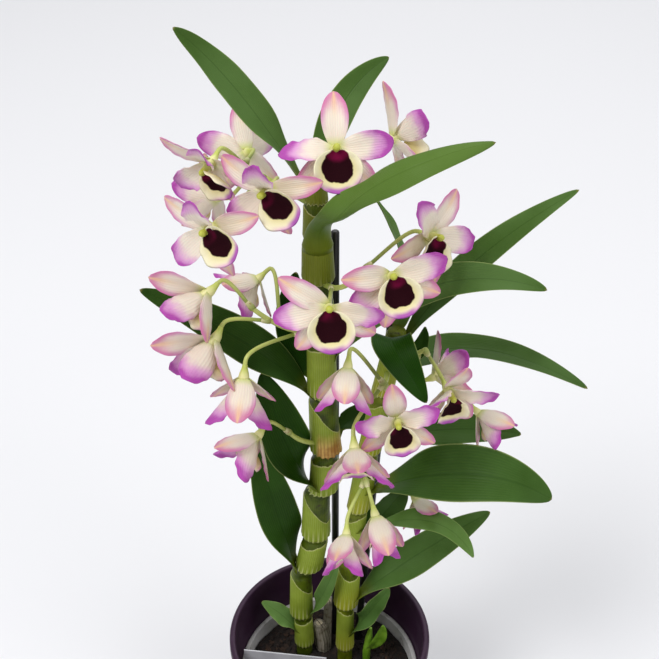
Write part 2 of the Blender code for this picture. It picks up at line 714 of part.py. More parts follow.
def main():
    """Build the potted orchid from the pot up."""
    clear_scene()
    canes = {"main": cane_rings(MAIN_CANE, MAIN_CANE_Y), "second": cane_rings(SECOND_CANE, SECOND_CANE_Y)}
    make_pots()
    holes = [hole(rings[0][0], rings[0][1], CANE_SIDES) for rings in canes.values()]
    for x, y, radius, sides in SMALL_HOLES:
        holes.append(hole((x * MM, y * MM), radius * MM, sides))
    make_substrate(holes)
    make_cane("cane_main", "main", canes["main"], "cane_green")
    make_cane("cane_second", "second", canes["second"], "second_cane_green")
    make_stubs()
    make_shoot()
    make_stakes()
    make_label()
    stems = dict(canes)
    for number, stake in enumerate((MAIN_STAKE, SECOND_STAKE)):
        stems[f"stake {number}"] = [(Vector(point) * MM, STAKE_RADIUS) for point in stake]
    for name in LEAVES:
        make_leaf(name, stems)
    for name in BLOOMS:
        make_bloom(name)


main()
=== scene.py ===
# %% [markdown]
# # A potted dendrobium in flower
# Two jointed canes of a nobile dendrobium stand in bark beside black stakes, in a grey growing pot
# inside a dark aubergine one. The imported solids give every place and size. Each cell below swaps one
# kind of plain solid for a finer piece that fills the same space, and then paints it.

import math
import random

import bmesh
import bpy
import numpy as np
from mathutils import Matrix, Vector


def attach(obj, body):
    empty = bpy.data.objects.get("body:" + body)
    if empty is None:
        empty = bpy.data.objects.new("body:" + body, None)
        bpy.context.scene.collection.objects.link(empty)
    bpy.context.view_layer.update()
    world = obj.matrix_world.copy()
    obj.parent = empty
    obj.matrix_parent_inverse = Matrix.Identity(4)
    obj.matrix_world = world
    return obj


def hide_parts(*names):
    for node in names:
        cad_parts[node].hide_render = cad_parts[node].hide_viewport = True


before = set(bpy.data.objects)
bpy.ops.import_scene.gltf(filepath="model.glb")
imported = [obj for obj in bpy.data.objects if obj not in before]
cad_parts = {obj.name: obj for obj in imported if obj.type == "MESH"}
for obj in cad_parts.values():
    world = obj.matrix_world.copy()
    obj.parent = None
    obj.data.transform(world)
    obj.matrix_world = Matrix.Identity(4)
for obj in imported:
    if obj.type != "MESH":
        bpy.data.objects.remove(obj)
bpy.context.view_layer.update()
MM = 0.001

# %% [markdown]
# The camera stands at seated eye height and looks down at the blooms. A long lens from half a metre
# keeps the canes almost straight. The floor is a plain pale sheet.

# %% Camera and floor
CAMERA_PLACE = (0, -0.505, 0.749)
CAMERA_TILT = 54.46
CAMERA_LENS = 60.09


def new_object(name, data):
    """An object in the scene that shows the data given."""
    made = bpy.data.objects.new(name, data)
    bpy.context.scene.collection.objects.link(made)
    return made


lens = bpy.data.cameras.new("camera")
lens.lens = CAMERA_LENS
lens.sensor_width = 36
camera = new_object("camera", lens)
camera.location = CAMERA_PLACE
camera.rotation_euler = (math.radians(CAMERA_TILT), 0, 0)
bpy.context.scene.camera = camera
print("camera", CAMERA_PLACE, "tilt", CAMERA_TILT)

# %% [markdown]
# A photographer's table has light from all round, a little stronger from above on the left, so that
# petals glow and the shadow on the table stays soft. Large area lamps and a pale world do that. Past
# the table's edge the camera sees the world paler than it lights, so no dark horizon shows. The
# Standard view keeps the dark throats of the lips dark and the petals clean.

# %% Lights
LAMPS = {
    "key": ((-1.6, -1.3, 3.0), 1.6, 68),
    "fill": ((1.9, -1.2, 2.2), 2.0, 26),
    "back": ((0.5, 2.2, 2.6), 2.0, 26),
}
LAMPS_LOOK_AT = Vector((0, 0, 0.3))
ROOM_COLOUR = (0.93, 0.94, 0.96, 1)
ROOM_LIGHT, SEEN_EXTRA = 0.5, 0.38
for name, (place, size, power) in LAMPS.items():
    glow = bpy.data.lights.new(name, "AREA")
    glow.shape = "DISK"
    glow.size = size
    glow.energy = power
    lamp = new_object(name, glow)
    lamp.location = place
    lamp.rotation_euler = (LAMPS_LOOK_AT - Vector(place)).to_track_quat("-Z", "Y").to_euler()
world = bpy.data.worlds.new("pale room")
world.use_nodes = True
backdrop = world.node_tree
room = backdrop.nodes["Background"].inputs
room["Color"].default_value = ROOM_COLOUR
seen = backdrop.nodes.new("ShaderNodeLightPath").outputs["Is Camera Ray"]
strength = backdrop.nodes.new("ShaderNodeMath")
strength.operation = "MULTIPLY_ADD"
backdrop.links.new(seen, strength.inputs[0])
strength.inputs[1].default_value = SEEN_EXTRA
strength.inputs[2].default_value = ROOM_LIGHT
backdrop.links.new(strength.outputs[0], room["Strength"])
bpy.context.scene.world = world
bpy.context.scene.view_settings.view_transform = "Standard"
print("lamps", list(LAMPS))

# %% [markdown]
# Colours are easier to choose as screen numbers than as the linear numbers that a shader adds up, so
# one helper turns the first into the second. The rest of this cell shortens the wiring of nodes: each
# helper adds one node and gives back the socket that carries its answer.


# %% Paint and wiring helpers
def paint(red, green, blue):
    """A screen colour as linear numbers."""
    shares = [value / 255 for value in (red, green, blue)]
    return (*[v / 12.92 if v < 0.04045 else ((v + 0.055) / 1.055) ** 2.4 for v in shares], 1.0)


def wire(tree, socket, value):
    """Feed an input from another socket, or set it to a plain value."""
    if isinstance(value, bpy.types.NodeSocket):
        tree.links.new(value, socket)
    else:
        socket.default_value = value


def add(tree, kind, settings=None, **inputs):
    """A node with its settings, and inputs named with _ for a blank."""
    made = tree.nodes.new(kind)
    for key, value in (settings or {}).items():
        setattr(made, key, value)
    for key, value in inputs.items():
        wire(tree, made.inputs[key.replace("_", " ")], value)
    return made


def maths(tree, operation, *values):
    """One sum on numbers."""
    made = tree.nodes.new("ShaderNodeMath")
    made.operation = operation
    for socket, value in zip(made.inputs, values):
        wire(tree, socket, value)
    return made.outputs[0]


def times(tree, first, second):
    """Two numbers multiplied."""
    return maths(tree, "MULTIPLY", first, second)


def inverse(tree, value):
    """One minus a number."""
    return maths(tree, "SUBTRACT", 1.0, value)


def fade(tree, value, start, end):
    """0 before the start and 1 after the end, with a soft step between."""
    made = tree.nodes.new("ShaderNodeMapRange")
    made.interpolation_type = "SMOOTHSTEP"
    for name, part in (("Value", value), ("From Min", start), ("From Max", end)):
        wire(tree, made.inputs[name], part)
    return made.outputs["Result"]


def blend(tree, share, first, second, most=None):
    """The first colour turning into the second, each a socket or a screen colour, up to a most."""
    made = tree.nodes.new("ShaderNodeMix")
    made.data_type = "RGBA"
    wire(tree, made.inputs[0], share if most is None else times(tree, share, most))
    for place, colour in ((6, first), (7, second)):
        wire(tree, made.inputs[place], paint(*colour) if isinstance(colour, tuple) else colour)
    return made.outputs[2]


def mark(tree, name):
    """A painted mark of the mesh, as a number."""
    return add(tree, "ShaderNodeAttribute", {"attribute_name": name}).outputs["Fac"]


def grain(tree, scale, detail=3.0, vector=None):
    """Smooth cloudy noise around 0.5, fixed to the object."""
    coordinates = vector or tree.nodes.new("ShaderNodeTexCoord").outputs["Object"]
    made = add(tree, "ShaderNodeTexNoise", Vector=coordinates, Scale=scale, Detail=detail)
    return made.outputs["Fac"]


def new_finish(name, roughness, **sockets):
    """A material with one Principled shader, and its constant sockets."""
    made = bpy.data.materials.new(name)
    made.use_nodes = True
    shader = made.node_tree.nodes["Principled BSDF"]
    shader.inputs["Roughness"].default_value = roughness
    for key, value in sockets.items():
        shader.inputs[key.replace("_", " ")].default_value = value
    return made, made.node_tree, shader


def cover(tree, shader, colour, height, distance, strength, rough=None):
    """Give a shader its colour, low relief through a Bump node, and roughness where it varies."""
    bump = add(tree, "ShaderNodeBump", Height=height, Distance=distance, Strength=strength)
    tree.links.new(colour, shader.inputs["Base Color"])
    tree.links.new(bump.outputs["Normal"], shader.inputs["Normal"])
    if rough is not None:
        tree.links.new(rough, shader.inputs["Roughness"])


print("helpers ready")

# %% [markdown]
# Leaves, petals and sheaths share two effects: fine parallel veins that run along the blade, and slow
# mottling, because no plant is one even green. Each is a node group, built once, so that a change to
# it reaches every blade. The groups give numbers only, and each material keeps its own shader.


# %% Shared effects: fine veins and mottling
def effect(name, inputs, outputs):
    """An empty node group with named number sockets."""
    group = bpy.data.node_groups.new(name, "ShaderNodeTree")
    for label, start in inputs.items():
        kind = "NodeSocketVector" if label == "Place" else "NodeSocketFloat"
        socket = group.interface.new_socket(label, in_out="INPUT", socket_type=kind)
        if start is not None:
            socket.default_value = start
    for label in outputs:
        group.interface.new_socket(label, in_out="OUTPUT", socket_type="NodeSocketFloat")
    return group, group.nodes.new("NodeGroupInput"), group.nodes.new("NodeGroupOutput")


VEINS, given, result = effect("fine veins", {"Across": 0, "Along": 0, "Count": 20}, ["Line"])
wander = add(VEINS, "ShaderNodeCombineXYZ", X=given.outputs["Across"], Y=given.outputs["Along"])
shift = grain(VEINS, 2.5, 2.0, wander.outputs[0])
phase = times(VEINS, given.outputs["Across"], given.outputs["Count"])
phase = maths(VEINS, "ADD", phase, times(VEINS, shift, 3.0))
swing = maths(VEINS, "MULTIPLY_ADD", maths(VEINS, "SINE", phase), 0.5, 0.5)
VEINS.links.new(maths(VEINS, "POWER", swing, 2.0), result.inputs["Line"])

MOTTLE, given, result = effect("mottling", {"Place": None, "Size": 60, "Seed": 0}, ["Patch"])
moved = add(MOTTLE, "ShaderNodeVectorMath", {"operation": "ADD"})
MOTTLE.links.new(given.outputs["Place"], moved.inputs[0])
MOTTLE.links.new(given.outputs["Seed"], moved.inputs[1])
cloud = add(MOTTLE, "ShaderNodeTexNoise", Vector=moved.outputs[0], Scale=given.outputs["Size"], Detail=4.0)
MOTTLE.links.new(fade(MOTTLE, cloud.outputs["Fac"], 0.3, 0.7), result.inputs["Patch"])


def veins(tree, across, along, count):
    """The fine veins group, placed in a material."""
    made = add(tree, "ShaderNodeGroup", {"node_tree": VEINS}, Across=across, Along=along, Count=count)
    return made.outputs["Line"]


def mottling(tree, size, seed=0.0):
    """The mottling group, placed in a material."""
    place = tree.nodes.new("ShaderNodeTexCoord").outputs["Object"]
    made = add(tree, "ShaderNodeGroup", {"node_tree": MOTTLE}, Place=place, Size=size, Seed=seed)
    return made.outputs["Patch"]


print("groups:", VEINS.name, "and", MOTTLE.name)

# %% [markdown]
# Every piece is gathered part by part: its points, its faces, the slot of the finish that each part
# wears, and its marks. A mark is a number painted on each point, such as how far along a petal it lies.
# The materials read the marks, so a colour follows the blade however it bends.


# %% The gatherer of points, faces and marks
MARKS = ("along", "across", "under", "tone")


class Skin:
    """One piece while it is being made."""

    def __init__(self):
        self.points = []
        self.faces = []
        self.slots = []
        self.marks = {name: [] for name in MARKS}

    def add(self, points, faces, slot=0, **marks):
        """Add a part, with a list or one number for each of its marks."""
        start = len(self.points)
        self.points += [tuple(point) for point in points]
        self.faces += [tuple(start + corner for corner in face) for face in faces]
        self.slots += [slot] * len(faces)
        for name in MARKS:
            values = marks.get(name, 0.0)
            self.marks[name] += list(values) if np.ndim(values) else [float(values)] * len(points)

    def finish(self, name, node, finishes, smooth=True):
        """Make the object, turn its faces outward and put it in the place of its solid."""
        mesh = bpy.data.meshes.new(name)
        mesh.from_pydata(self.points, [], self.faces)
        mesh.polygons.foreach_set("material_index", self.slots)
        for label, values in self.marks.items():
            mesh.attributes.new(label, "FLOAT", "POINT").data.foreach_set("value", values)
        for finish in finishes:
            mesh.materials.append(finish)
        shape = bmesh.new()
        shape.from_mesh(mesh)
        bmesh.ops.recalc_face_normals(shape, faces=shape.faces)
        shape.to_mesh(mesh)
        shape.free()
        mesh.polygons.foreach_set("use_smooth", [smooth] * len(mesh.polygons))
        return settle(new_object(name, mesh), node)


def settle(thing, *nodes):
    """Ride on the one body, in the place of the CAD nodes named."""
    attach(thing, "root")
    if nodes and nodes[0]:
        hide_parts(*nodes)
    return thing


def ring_faces(rows, sides):
    """Faces between rows of a closed round skin, and a fan over each end, whose hubs come last."""
    faces = []
    for row in range(rows - 1):
        for side in range(sides):
            after = (side + 1) % sides
            near, far = row * sides, (row + 1) * sides
            faces.append((near + side, near + after, far + after, far + side))
    low, high, top = rows * sides, rows * sides + 1, (rows - 1) * sides
    for side in range(sides):
        after = (side + 1) % sides
        faces.append((low, after, side))
        faces.append((high, top + side, top + after))
    return faces


def round_skin(rings):
    """Points and faces of a closed skin over an array of rings."""
    rings = np.asarray(rings, float)
    points = rings.reshape(-1, 3)
    hubs = [rings[0].mean(0), rings[-1].mean(0)]
    return np.vstack([points, hubs]), ring_faces(len(rings), rings.shape[1])


def circles(middles, radii, sides):
    """Level rings: middles is rows by 3, and radii is rows, or rows by sides."""
    turn = np.linspace(0, 2 * np.pi, sides, endpoint=False)
    radii = np.broadcast_to(np.reshape(radii, (len(middles), -1)), (len(middles), sides))
    rings = np.zeros((len(middles), sides, 3))
    rings[..., 0] = radii * np.cos(turn)
    rings[..., 1] = radii * np.sin(turn)
    return rings + np.asarray(middles)[:, None, :]


def at_steps(table, steps):
    """Even steps through a table's rows, and its columns there in metres."""
    rows = np.linspace(0, len(table) - 1, steps)
    return rows, [np.interp(rows, range(len(table)), column) * MM for column in zip(*table)]


print("marks:", MARKS)

# %% [markdown]
# ## The pots
# The outer pot is thin dark aubergine plastic with a thicker rim. Turning one wall section round the
# upright axis makes it in one go. The growing pot inside is recycled grey plastic, of which mostly the
# rim shows. Both sections are the solids' own, with the corners rounded by extra points.

# %% Pot finishes
POT_PLASTIC, tree, shader = new_finish("aubergine plastic", 0.5, Specular_IOR_Level=0.3)
dust = fade(tree, grain(tree, 45, 5.0), 0.45, 0.75)
colour = blend(tree, dust, (50, 27, 49), (84, 66, 85), 0.3)
rough = maths(tree, "MULTIPLY_ADD", dust, 0.2, 0.46)
cover(tree, shader, colour, grain(tree, 1400, 2.0), 0.0002, 0.25, rough)

GREY_PLASTIC, tree, shader = new_finish("grey pot plastic", 0.6)
dirt = fade(tree, grain(tree, 120, 6.0), 0.5, 0.72)
colour = blend(tree, dirt, (188, 186, 185), (104, 96, 88), 0.6)
cover(tree, shader, colour, grain(tree, 900, 3.0), 0.0003, 0.3)
print("pot finishes:", POT_PLASTIC.name, GREY_PLASTIC.name)

# %% Turn both pots
GAP = 0.35 * MM
POT_HEIGHT, POT_RIM, POT_BASE, POT_WALL, POT_FLOOR = 128 * MM, 70 * MM, 62 * MM, 2 * MM, 4 * MM
INNER_TOP, INNER_RIM, INNER_BASE, INNER_WALL = 92 * MM, 63.4 * MM, 57 * MM, 1.2 * MM
POT_TURNS = 128


def soften(section, radius, steps=4):
    """Round each inner corner of a wall section of radius and height pairs."""
    corners = [Vector(point) for point in section]
    soft = [corners[0]]
    for before, corner, after in zip(corners, corners[1:], corners[2:]):
        reach = min(radius, (before - corner).length * 0.45, (after - corner).length * 0.45)
        start = corner + (before - corner).normalized() * reach
        end = corner + (after - corner).normalized() * reach
        for step in range(steps + 1):
            part = step / steps
            soft.append(start.lerp(corner, part).lerp(corner.lerp(end, part), part))
    return soft + [corners[-1]]


def turn_pot(name, section, radius, finish):
    """A pot from its wall section, run round the upright axis."""
    soft = soften(section, radius)
    rings = circles([(0, 0, point.y) for point in soft], [point.x for point in soft], POT_TURNS)
    skin = Skin()
    skin.add(*round_skin(rings))
    return skin.finish(name, name, [finish])


rim_low = POT_HEIGHT - 9 * MM
under_rim = POT_RIM - 2.4 * MM
inside = under_rim - POT_WALL
OUTER_SECTION = (
    (POT_BASE - 2 * MM, 0),
    (POT_BASE, 2 * MM),
    (under_rim, rim_low),
    (POT_RIM, rim_low + 1.5 * MM),
    (POT_RIM, POT_HEIGHT - 1.2 * MM),
    (POT_RIM - 1.4 * MM, POT_HEIGHT),
    (inside + 0.8 * MM, POT_HEIGHT),
    (inside, POT_HEIGHT - 1.2 * MM),
    (POT_BASE - POT_WALL, POT_FLOOR),
)
foot = POT_FLOOR + GAP
neck = INNER_RIM - 2.2 * MM
INNER_SECTION = (
    (INNER_BASE, foot),
    (neck, INNER_TOP - 6 * MM),
    (INNER_RIM, INNER_TOP - 4 * MM),
    (INNER_RIM, INNER_TOP - 0.8 * MM),
    (INNER_RIM - 0.8 * MM, INNER_TOP),
    (neck - INNER_WALL, INNER_TOP),
    (INNER_BASE - INNER_WALL, foot + INNER_WALL),
)
outer = turn_pot("pot_outer", OUTER_SECTION, 1.0 * MM, POT_PLASTIC)
inner = turn_pot("pot_inner", INNER_SECTION, 0.6 * MM, GREY_PLASTIC)
print("outer pot faces", len(outer.data.polygons), "inner pot faces", len(inner.data.polygons))

# %% [markdown]
# ## The canes' numbers
# The solids' own tables place the canes, and everything that grows from them. A cane is a row of
# internodes, each with a bottom, a top, where its middle lies there, and a radius, in millimetres. The
# radius swells at the bottom and narrows to a neck above the top.

# %% Tables of the canes
MAIN_CANE_Y = ((60, 20), (300, 20), (470, 22))
MAIN_CANE = (
    (94, 119, -18.4, -18.8, 6.3),
    (126, 166, -20.2, -19.6, 7.5),
    (175, 200, -14.0, -9.8, 8.7),
    (206, 243, -9.2, -8.2, 8.9),
    (248, 274, -3.8, -3.0, 8.8),
    (283, 322, -2.6, -3.8, 9.0),
    (328, 364, -4.4, -5.0, 8.4),
    (370, 404, -5.8, -6.2, 8.2),
    (410, 433, -6.4, -6.8, 8.6),
    (438, 457, -7.0, -7.2, 7.0),
    (460, 472, -7.2, -7.4, 5.6),
)
SECOND_CANE_Y = ((60, 13), (240, 13), (372, 21))
SECOND_CANE = (
    (98, 138, 11.2, 11.2, 5.8),
    (144, 186, 11.5, 13.6, 7.8),
    (192, 232, 14.4, 18.0, 6.6),
    (237, 280, 19.0, 24.4, 6.8),
    (285, 325, 25.4, 31.4, 6.6),
    (330, 372, 32.4, 39.6, 6.0),
)
CANE_FOOT = 61.5
FOOT_SHARE, LOW_SHARE, HIGH_SHARE, NECK_SHARE = 0.92, 1.05, 0.97, 0.84
STAKE_RADIUS = 2.5 * MM
MAIN_STAKE = ((4.5, 37, CANE_FOOT), (3.2, 37, 431))
SECOND_STAKE = ((20, 33, CANE_FOOT), (37, 34, 372))
CLIP = ((4, 35, 183), (8, 27, 186), (7, 20, 190))


def cane_rings(internodes, sway):
    """Middle and radius at the foot, and at three heights of each internode."""
    heights, offsets = zip(*sway)
    first_bottom, _, x_first, _, first_radius = internodes[0]
    stations = [(z, x_first, first_radius * FOOT_SHARE) for z in (CANE_FOOT, first_bottom - 3)]
    for bottom, top, x_bottom, x_top, radius in internodes:
        stations.append((bottom, x_bottom, radius * LOW_SHARE))
        stations.append((top - 1, x_top, radius * HIGH_SHARE))
        stations.append((top + 1.5, x_top, radius * NECK_SHARE))
    return np.array([(x, np.interp(z, heights, offsets), z, radius) for z, x, radius in stations]) * MM


CANES = {"main": cane_rings(MAIN_CANE, MAIN_CANE_Y), "second": cane_rings(SECOND_CANE, SECOND_CANE_Y)}
STEMS = dict(CANES)
for number, stake in enumerate((MAIN_STAKE, SECOND_STAKE)):
    STEMS[f"stake {number}"] = np.array([(*(v * MM for v in point), STAKE_RADIUS) for point in stake])


def stem_at(rings, height):
    """Middle and radius of a stem at a height."""
    x, y, radius = (np.interp(height, rings[:, 2], rings[:, column]) for column in (0, 1, 3))
    return Vector((float(x), float(y), height)), float(radius)


print("canes:", {name: len(rings) for name, rings in CANES.items()})

# %% [markdown]
# ## The canes
# A nobile cane is jointed like bamboo. Each internode wears the pale papery sheath of a leaf that may
# have fallen. The sheath is slit on one side, its lower edge is pleated and frayed, and the bare neck
# below it is darker. On the main cane one sheath has dried to a brown flap. The skin is a stack of fine
# rings. A mark holds the distance in millimetres to the sheath's edge, and both the step in the skin and
# the change of colour come from that one number.

# %% Cane finishes
SHEATH_SCALE = 10.0
PLEATS = 18
OLIVE_FADE = 12 * MM


def cane_finish(name, sheath_low, sheath_high, bare_low, bare_high, olive_from):
    """Sheath and bare neck, told apart by the distance to the edge, and olive above a height."""
    made, tree, shader = new_finish(name, 0.5, Specular_IOR_Level=0.2)
    edge = times(tree, mark(tree, "under"), SHEATH_SCALE)
    frayed = maths(tree, "MULTIPLY_ADD", grain(tree, 900, 3.0), 1.4, maths(tree, "SUBTRACT", edge, 0.7))
    worn = fade(tree, frayed, -0.15, 0.15)
    rise, around, dry = (mark(tree, name) for name in ("along", "across", "tone"))
    lines = veins(tree, around, rise, 130.0)
    patch = mottling(tree, 90.0)
    sheath = blend(tree, fade(tree, rise, 0.0, 0.7), sheath_low, sheath_high)
    sheath = blend(tree, lines, sheath, (190, 196, 124), 0.15)
    sheath = blend(tree, patch, sheath, bare_high, 0.3)
    pleats = maths(tree, "COSINE", times(tree, around, PLEATS * math.pi))
    low = inverse(tree, fade(tree, rise, 0.0, 0.4))
    streak = times(tree, fade(tree, pleats, 0.1, 0.9), low)
    sheath = blend(tree, streak, sheath, (200, 202, 138), 0.55)
    place = tree.nodes.new("ShaderNodeTexCoord").outputs["Object"]
    height = add(tree, "ShaderNodeSeparateXYZ", Vector=place).outputs["Z"]
    olive = fade(tree, height, olive_from - OLIVE_FADE, olive_from + OLIVE_FADE)
    sheath = blend(tree, olive, sheath, (96, 102, 8), 0.75)
    rim = inverse(tree, fade(tree, frayed, 0.2, 0.9))
    sheath = blend(tree, rim, sheath, (204, 200, 146), 0.55)
    husk = blend(tree, mottling(tree, 150.0, 3.0), (206, 170, 96), (160, 112, 54))
    husk = blend(tree, veins(tree, around, rise, 90.0), husk, (120, 78, 40), 0.5)
    husk = blend(tree, rim, husk, (92, 54, 28))
    sheath = blend(tree, dry, sheath, husk)
    bare = blend(tree, patch, bare_low, bare_high)
    bare = blend(tree, fade(tree, grain(tree, 300, 2.0), 0.55, 0.8), bare, (56, 52, 20))
    colour = blend(tree, worn, bare, sheath)
    rough = maths(tree, "MULTIPLY_ADD", worn, 0.15, 0.38)
    cover(tree, shader, colour, maths(tree, "ADD", lines, worn), 0.0003, 0.5, rough)
    return made


MAIN_OLIVE_FROM, SECOND_OLIVE_FROM = 402 * MM, 384 * MM
MAIN_GREEN = cane_finish(
    "main cane skin", (122, 140, 26), (138, 156, 50), (42, 56, 4), (80, 96, 12), MAIN_OLIVE_FROM
)
SECOND_GREEN = cane_finish(
    "second cane skin", (148, 150, 20), (134, 152, 46), (70, 84, 6), (112, 122, 20), SECOND_OLIVE_FROM
)
print("cane finishes:", MAIN_GREEN.name, SECOND_GREEN.name)

# %% Grow the canes
CANE_SIDES = 72
CANE_STEP = 1.0
SHEATH_STEP = 0.45
# Each internode's slit: the side it faces, and how far down it cuts as a share of the height
MAIN_SLITS = ((180, 0.1), (-20, 0.4), (180, 0.2), (-25, 0.6), (180, 0.05), (-15, 0.6))
MAIN_SLITS += ((150, 0.1), (-10, 0.3), (200, 0.1), (-30, 0.35), (180, 0.1))
SECOND_SLITS = ((0, 0.1), (-70, 0.3), (160, 0.2), (-40, 0.35), (180, 0.15), (-30, 0.3))
HUSK = {"cane": "main", "internode": 5, "side": -62, "reach": 66, "flare": 1.5}


def grow_cane(name, cane, internodes, finish, slits):
    """Fine rings over the solid's own profile, with sheaths, pleats and slits."""
    rings = CANES[cane]
    heights = np.arange(CANE_FOOT, internodes[-1][1] + 1.5, CANE_STEP) * MM
    spread = np.linspace(-1.2, 1.2, 5) * MM
    smooth = np.mean([np.interp(heights + d, rings[:, 2], rings[:, 3]) for d in spread], axis=0)
    middles = np.stack([np.interp(heights, rings[:, 2], rings[:, c]) for c in (0, 1)] + [heights], axis=1)
    turn = np.linspace(0, 2 * np.pi, CANE_SIDES, endpoint=False)
    level, angle = np.meshgrid(heights / MM, turn, indexing="ij")
    edge = np.full(level.shape, -5.0)
    rise, flare, dry = (np.zeros(level.shape) for _ in range(3))
    for number, ((bottom, top, _, _, _), (side, slant)) in enumerate(zip(internodes, slits)):
        lean = 0.5 + 0.5 * np.cos(angle - math.radians(side))
        ragged = 0.6 * np.sin(5 * angle + number) + 0.35 * np.sin(11 * angle + 2 * number)
        teeth = 0.55 * np.cos(PLEATS * angle) + 0.3 * np.sin(29 * angle + number)
        upper = top - 0.5 - (top - bottom) * slant * lean**1.5 + 0.4 * ragged
        lower = bottom - 1.2 + 0.5 * ragged - teeth
        here = (level >= bottom - 3) & (level <= top + 3)
        rise = np.where(here, np.clip((level - lower) / (top - bottom), 0, 1), rise)
        edge = np.maximum(edge, np.minimum(level - lower, upper - level))
        fold = np.exp(-np.clip(level - lower, 0, None) / 5.0) * (level >= lower - 0.2) * here
        pleat = 0.16 + 0.26 * np.cos(PLEATS * angle)
        if cane == HUSK["cane"] and number == HUSK["internode"]:
            turned = np.cos(angle - math.radians(HUSK["side"]))
            patch = np.clip((turned - math.cos(math.radians(HUSK["reach"]))) * 4, 0, 1)
            patch = patch * np.clip(1.6 - (level - lower) / 12.0, 0, 1) * here
            dry = np.maximum(dry, patch)
            pleat = pleat + HUSK["flare"] * patch
        flare = np.maximum(flare, fold * pleat)
    swell = SHEATH_STEP * np.clip(edge / 0.8, 0, 1) + flare
    radii = smooth[:, None] + swell * MM
    points, faces = round_skin(circles(middles, radii, CANE_SIDES))
    around = np.abs(angle - np.pi) / np.pi
    skin = Skin()
    skin.add(
        points,
        faces,
        along=[*rise.ravel(), 0, 1],
        across=[*around.ravel(), 0, 0],
        under=[*np.clip(edge / SHEATH_SCALE, -0.5, 2).ravel(), -0.5, -0.5],
        tone=[*dry.ravel(), 0, 0],
    )
    return skin.finish(name, name, [finish])


main_cane = grow_cane("cane_main", "main", MAIN_CANE, MAIN_GREEN, MAIN_SLITS)
grow_cane("cane_second", "second", SECOND_CANE, SECOND_GREEN, SECOND_SLITS)
print("rings of the main cane:", len(main_cane.data.vertices) // CANE_SIDES)

# %% [markdown]
# ## Stalks, pedicels and stakes
# Everything thin and round follows a path, so one Geometry Nodes tree makes all of it. The script
# draws only the path, as points joined by edges, with the thickness as a mark. The tree turns the path
# into a curve, sets its radius and runs a circle along it.


# %% The stem tree
def geometry_tree(name, inputs):
    """An empty tree that takes and gives geometry, with more inputs as names and kinds."""
    tree = bpy.data.node_groups.new(name, "GeometryNodeTree")
    for label, kind in (("Geometry", "Geometry"), *inputs.items()):
        tree.interface.new_socket(label, in_out="INPUT", socket_type=f"NodeSocket{kind}")
    tree.interface.new_socket("Geometry", in_out="OUTPUT", socket_type="NodeSocketGeometry")
    return tree, tree.nodes.new("NodeGroupInput"), tree.nodes.new("NodeGroupOutput")


def stem_tree():
    """A Geometry Nodes tree that clothes a marked path in a round skin."""
    tree, given, result = geometry_tree("round stem", {"Sides": "Int", "Finish": "Material"})
    path = add(tree, "GeometryNodeMeshToCurve", Mesh=given.outputs["Geometry"])
    thick = add(tree, "GeometryNodeInputNamedAttribute", {"data_type": "FLOAT"}, Name="thick")
    sized = add(
        tree, "GeometryNodeSetCurveRadius", Curve=path.outputs[0], Radius=thick.outputs["Attribute"]
    )
    ring = add(tree, "GeometryNodeCurvePrimitiveCircle", Resolution=given.outputs["Sides"], Radius=1.0)
    run = add(tree, "GeometryNodeCurveToMesh", Curve=sized.outputs[0], Profile_Curve=ring.outputs[0])
    run.inputs["Fill Caps"].default_value = True
    if "Scale" in run.inputs:
        radius = tree.nodes.new("GeometryNodeInputRadius")
        tree.links.new(radius.outputs[0], run.inputs["Scale"])
    smooth = add(tree, "GeometryNodeSetShadeSmooth", Geometry=run.outputs[0])
    real = add(tree, "GeometryNodeRealizeInstances", Geometry=smooth.outputs[0])
    worn = add(
        tree, "GeometryNodeSetMaterial", Geometry=real.outputs[0], Material=given.outputs["Finish"]
    )
    tree.links.new(worn.outputs[0], result.inputs[0])
    return tree


STEM_TREE = stem_tree()


def run_tree(host, tree, name, values):
    """Give a host the tree with its values, and take the result as a plain object."""
    step = host.modifiers.new("tree", "NODES")
    step.node_group = tree
    for item in tree.interface.items_tree:
        if item.in_out == "INPUT" and item.name in values:
            step[item.identifier] = values[item.name]
    graph = bpy.context.evaluated_depsgraph_get()
    mesh = bpy.data.meshes.new_from_object(host.evaluated_get(graph))
    host.modifiers.clear()
    bpy.data.objects.remove(host)
    mesh.name = name
    return new_object(name, mesh)


def stems(name, paths, finish, sides=12):
    """Round stems along paths of points with a radius each."""
    points, edges, thick, along = [], [], [], []
    for path, radii in paths:
        start = len(points)
        points += [tuple(point) for point in path]
        edges += [(start + step, start + step + 1) for step in range(len(path) - 1)]
        thick += [float(radius) for radius in radii]
        along += list(np.linspace(0, 1, len(path)))
    mesh = bpy.data.meshes.new(name)
    mesh.from_pydata(points, edges, [])
    mesh.attributes.new("thick", "FLOAT", "POINT").data.foreach_set("value", thick)
    mesh.attributes.new("along", "FLOAT", "POINT").data.foreach_set("value", along)
    return run_tree(new_object(name, mesh), STEM_TREE, name, {"Sides": sides, "Finish": finish})


print("tree:", STEM_TREE.name, "with", len(STEM_TREE.nodes), "nodes")

# %% Stem finishes
STALK_GREEN, tree, shader = new_finish("stalk skin", 0.45, Coat_Weight=0.1)
pale = fade(tree, mark(tree, "along"), 0.0, 0.6)
colour = blend(tree, pale, (112, 132, 44), (190, 198, 108))
colour = blend(tree, mottling(tree, 160.0), colour, (150, 160, 62), 0.35)
cover(tree, shader, colour, grain(tree, 700, 2.0), 0.0002, 0.3)

BRACT_PAPER, tree, shader = new_finish("bract paper", 0.7)
colour = blend(tree, fade(tree, mark(tree, "along"), 0.3, 0.9), (150, 160, 84), (214, 208, 160))
colour = blend(tree, fade(tree, grain(tree, 500, 4.0), 0.55, 0.75), colour, (150, 116, 72))
cover(tree, shader, colour, grain(tree, 1500, 2.0), 0.0003, 0.4)

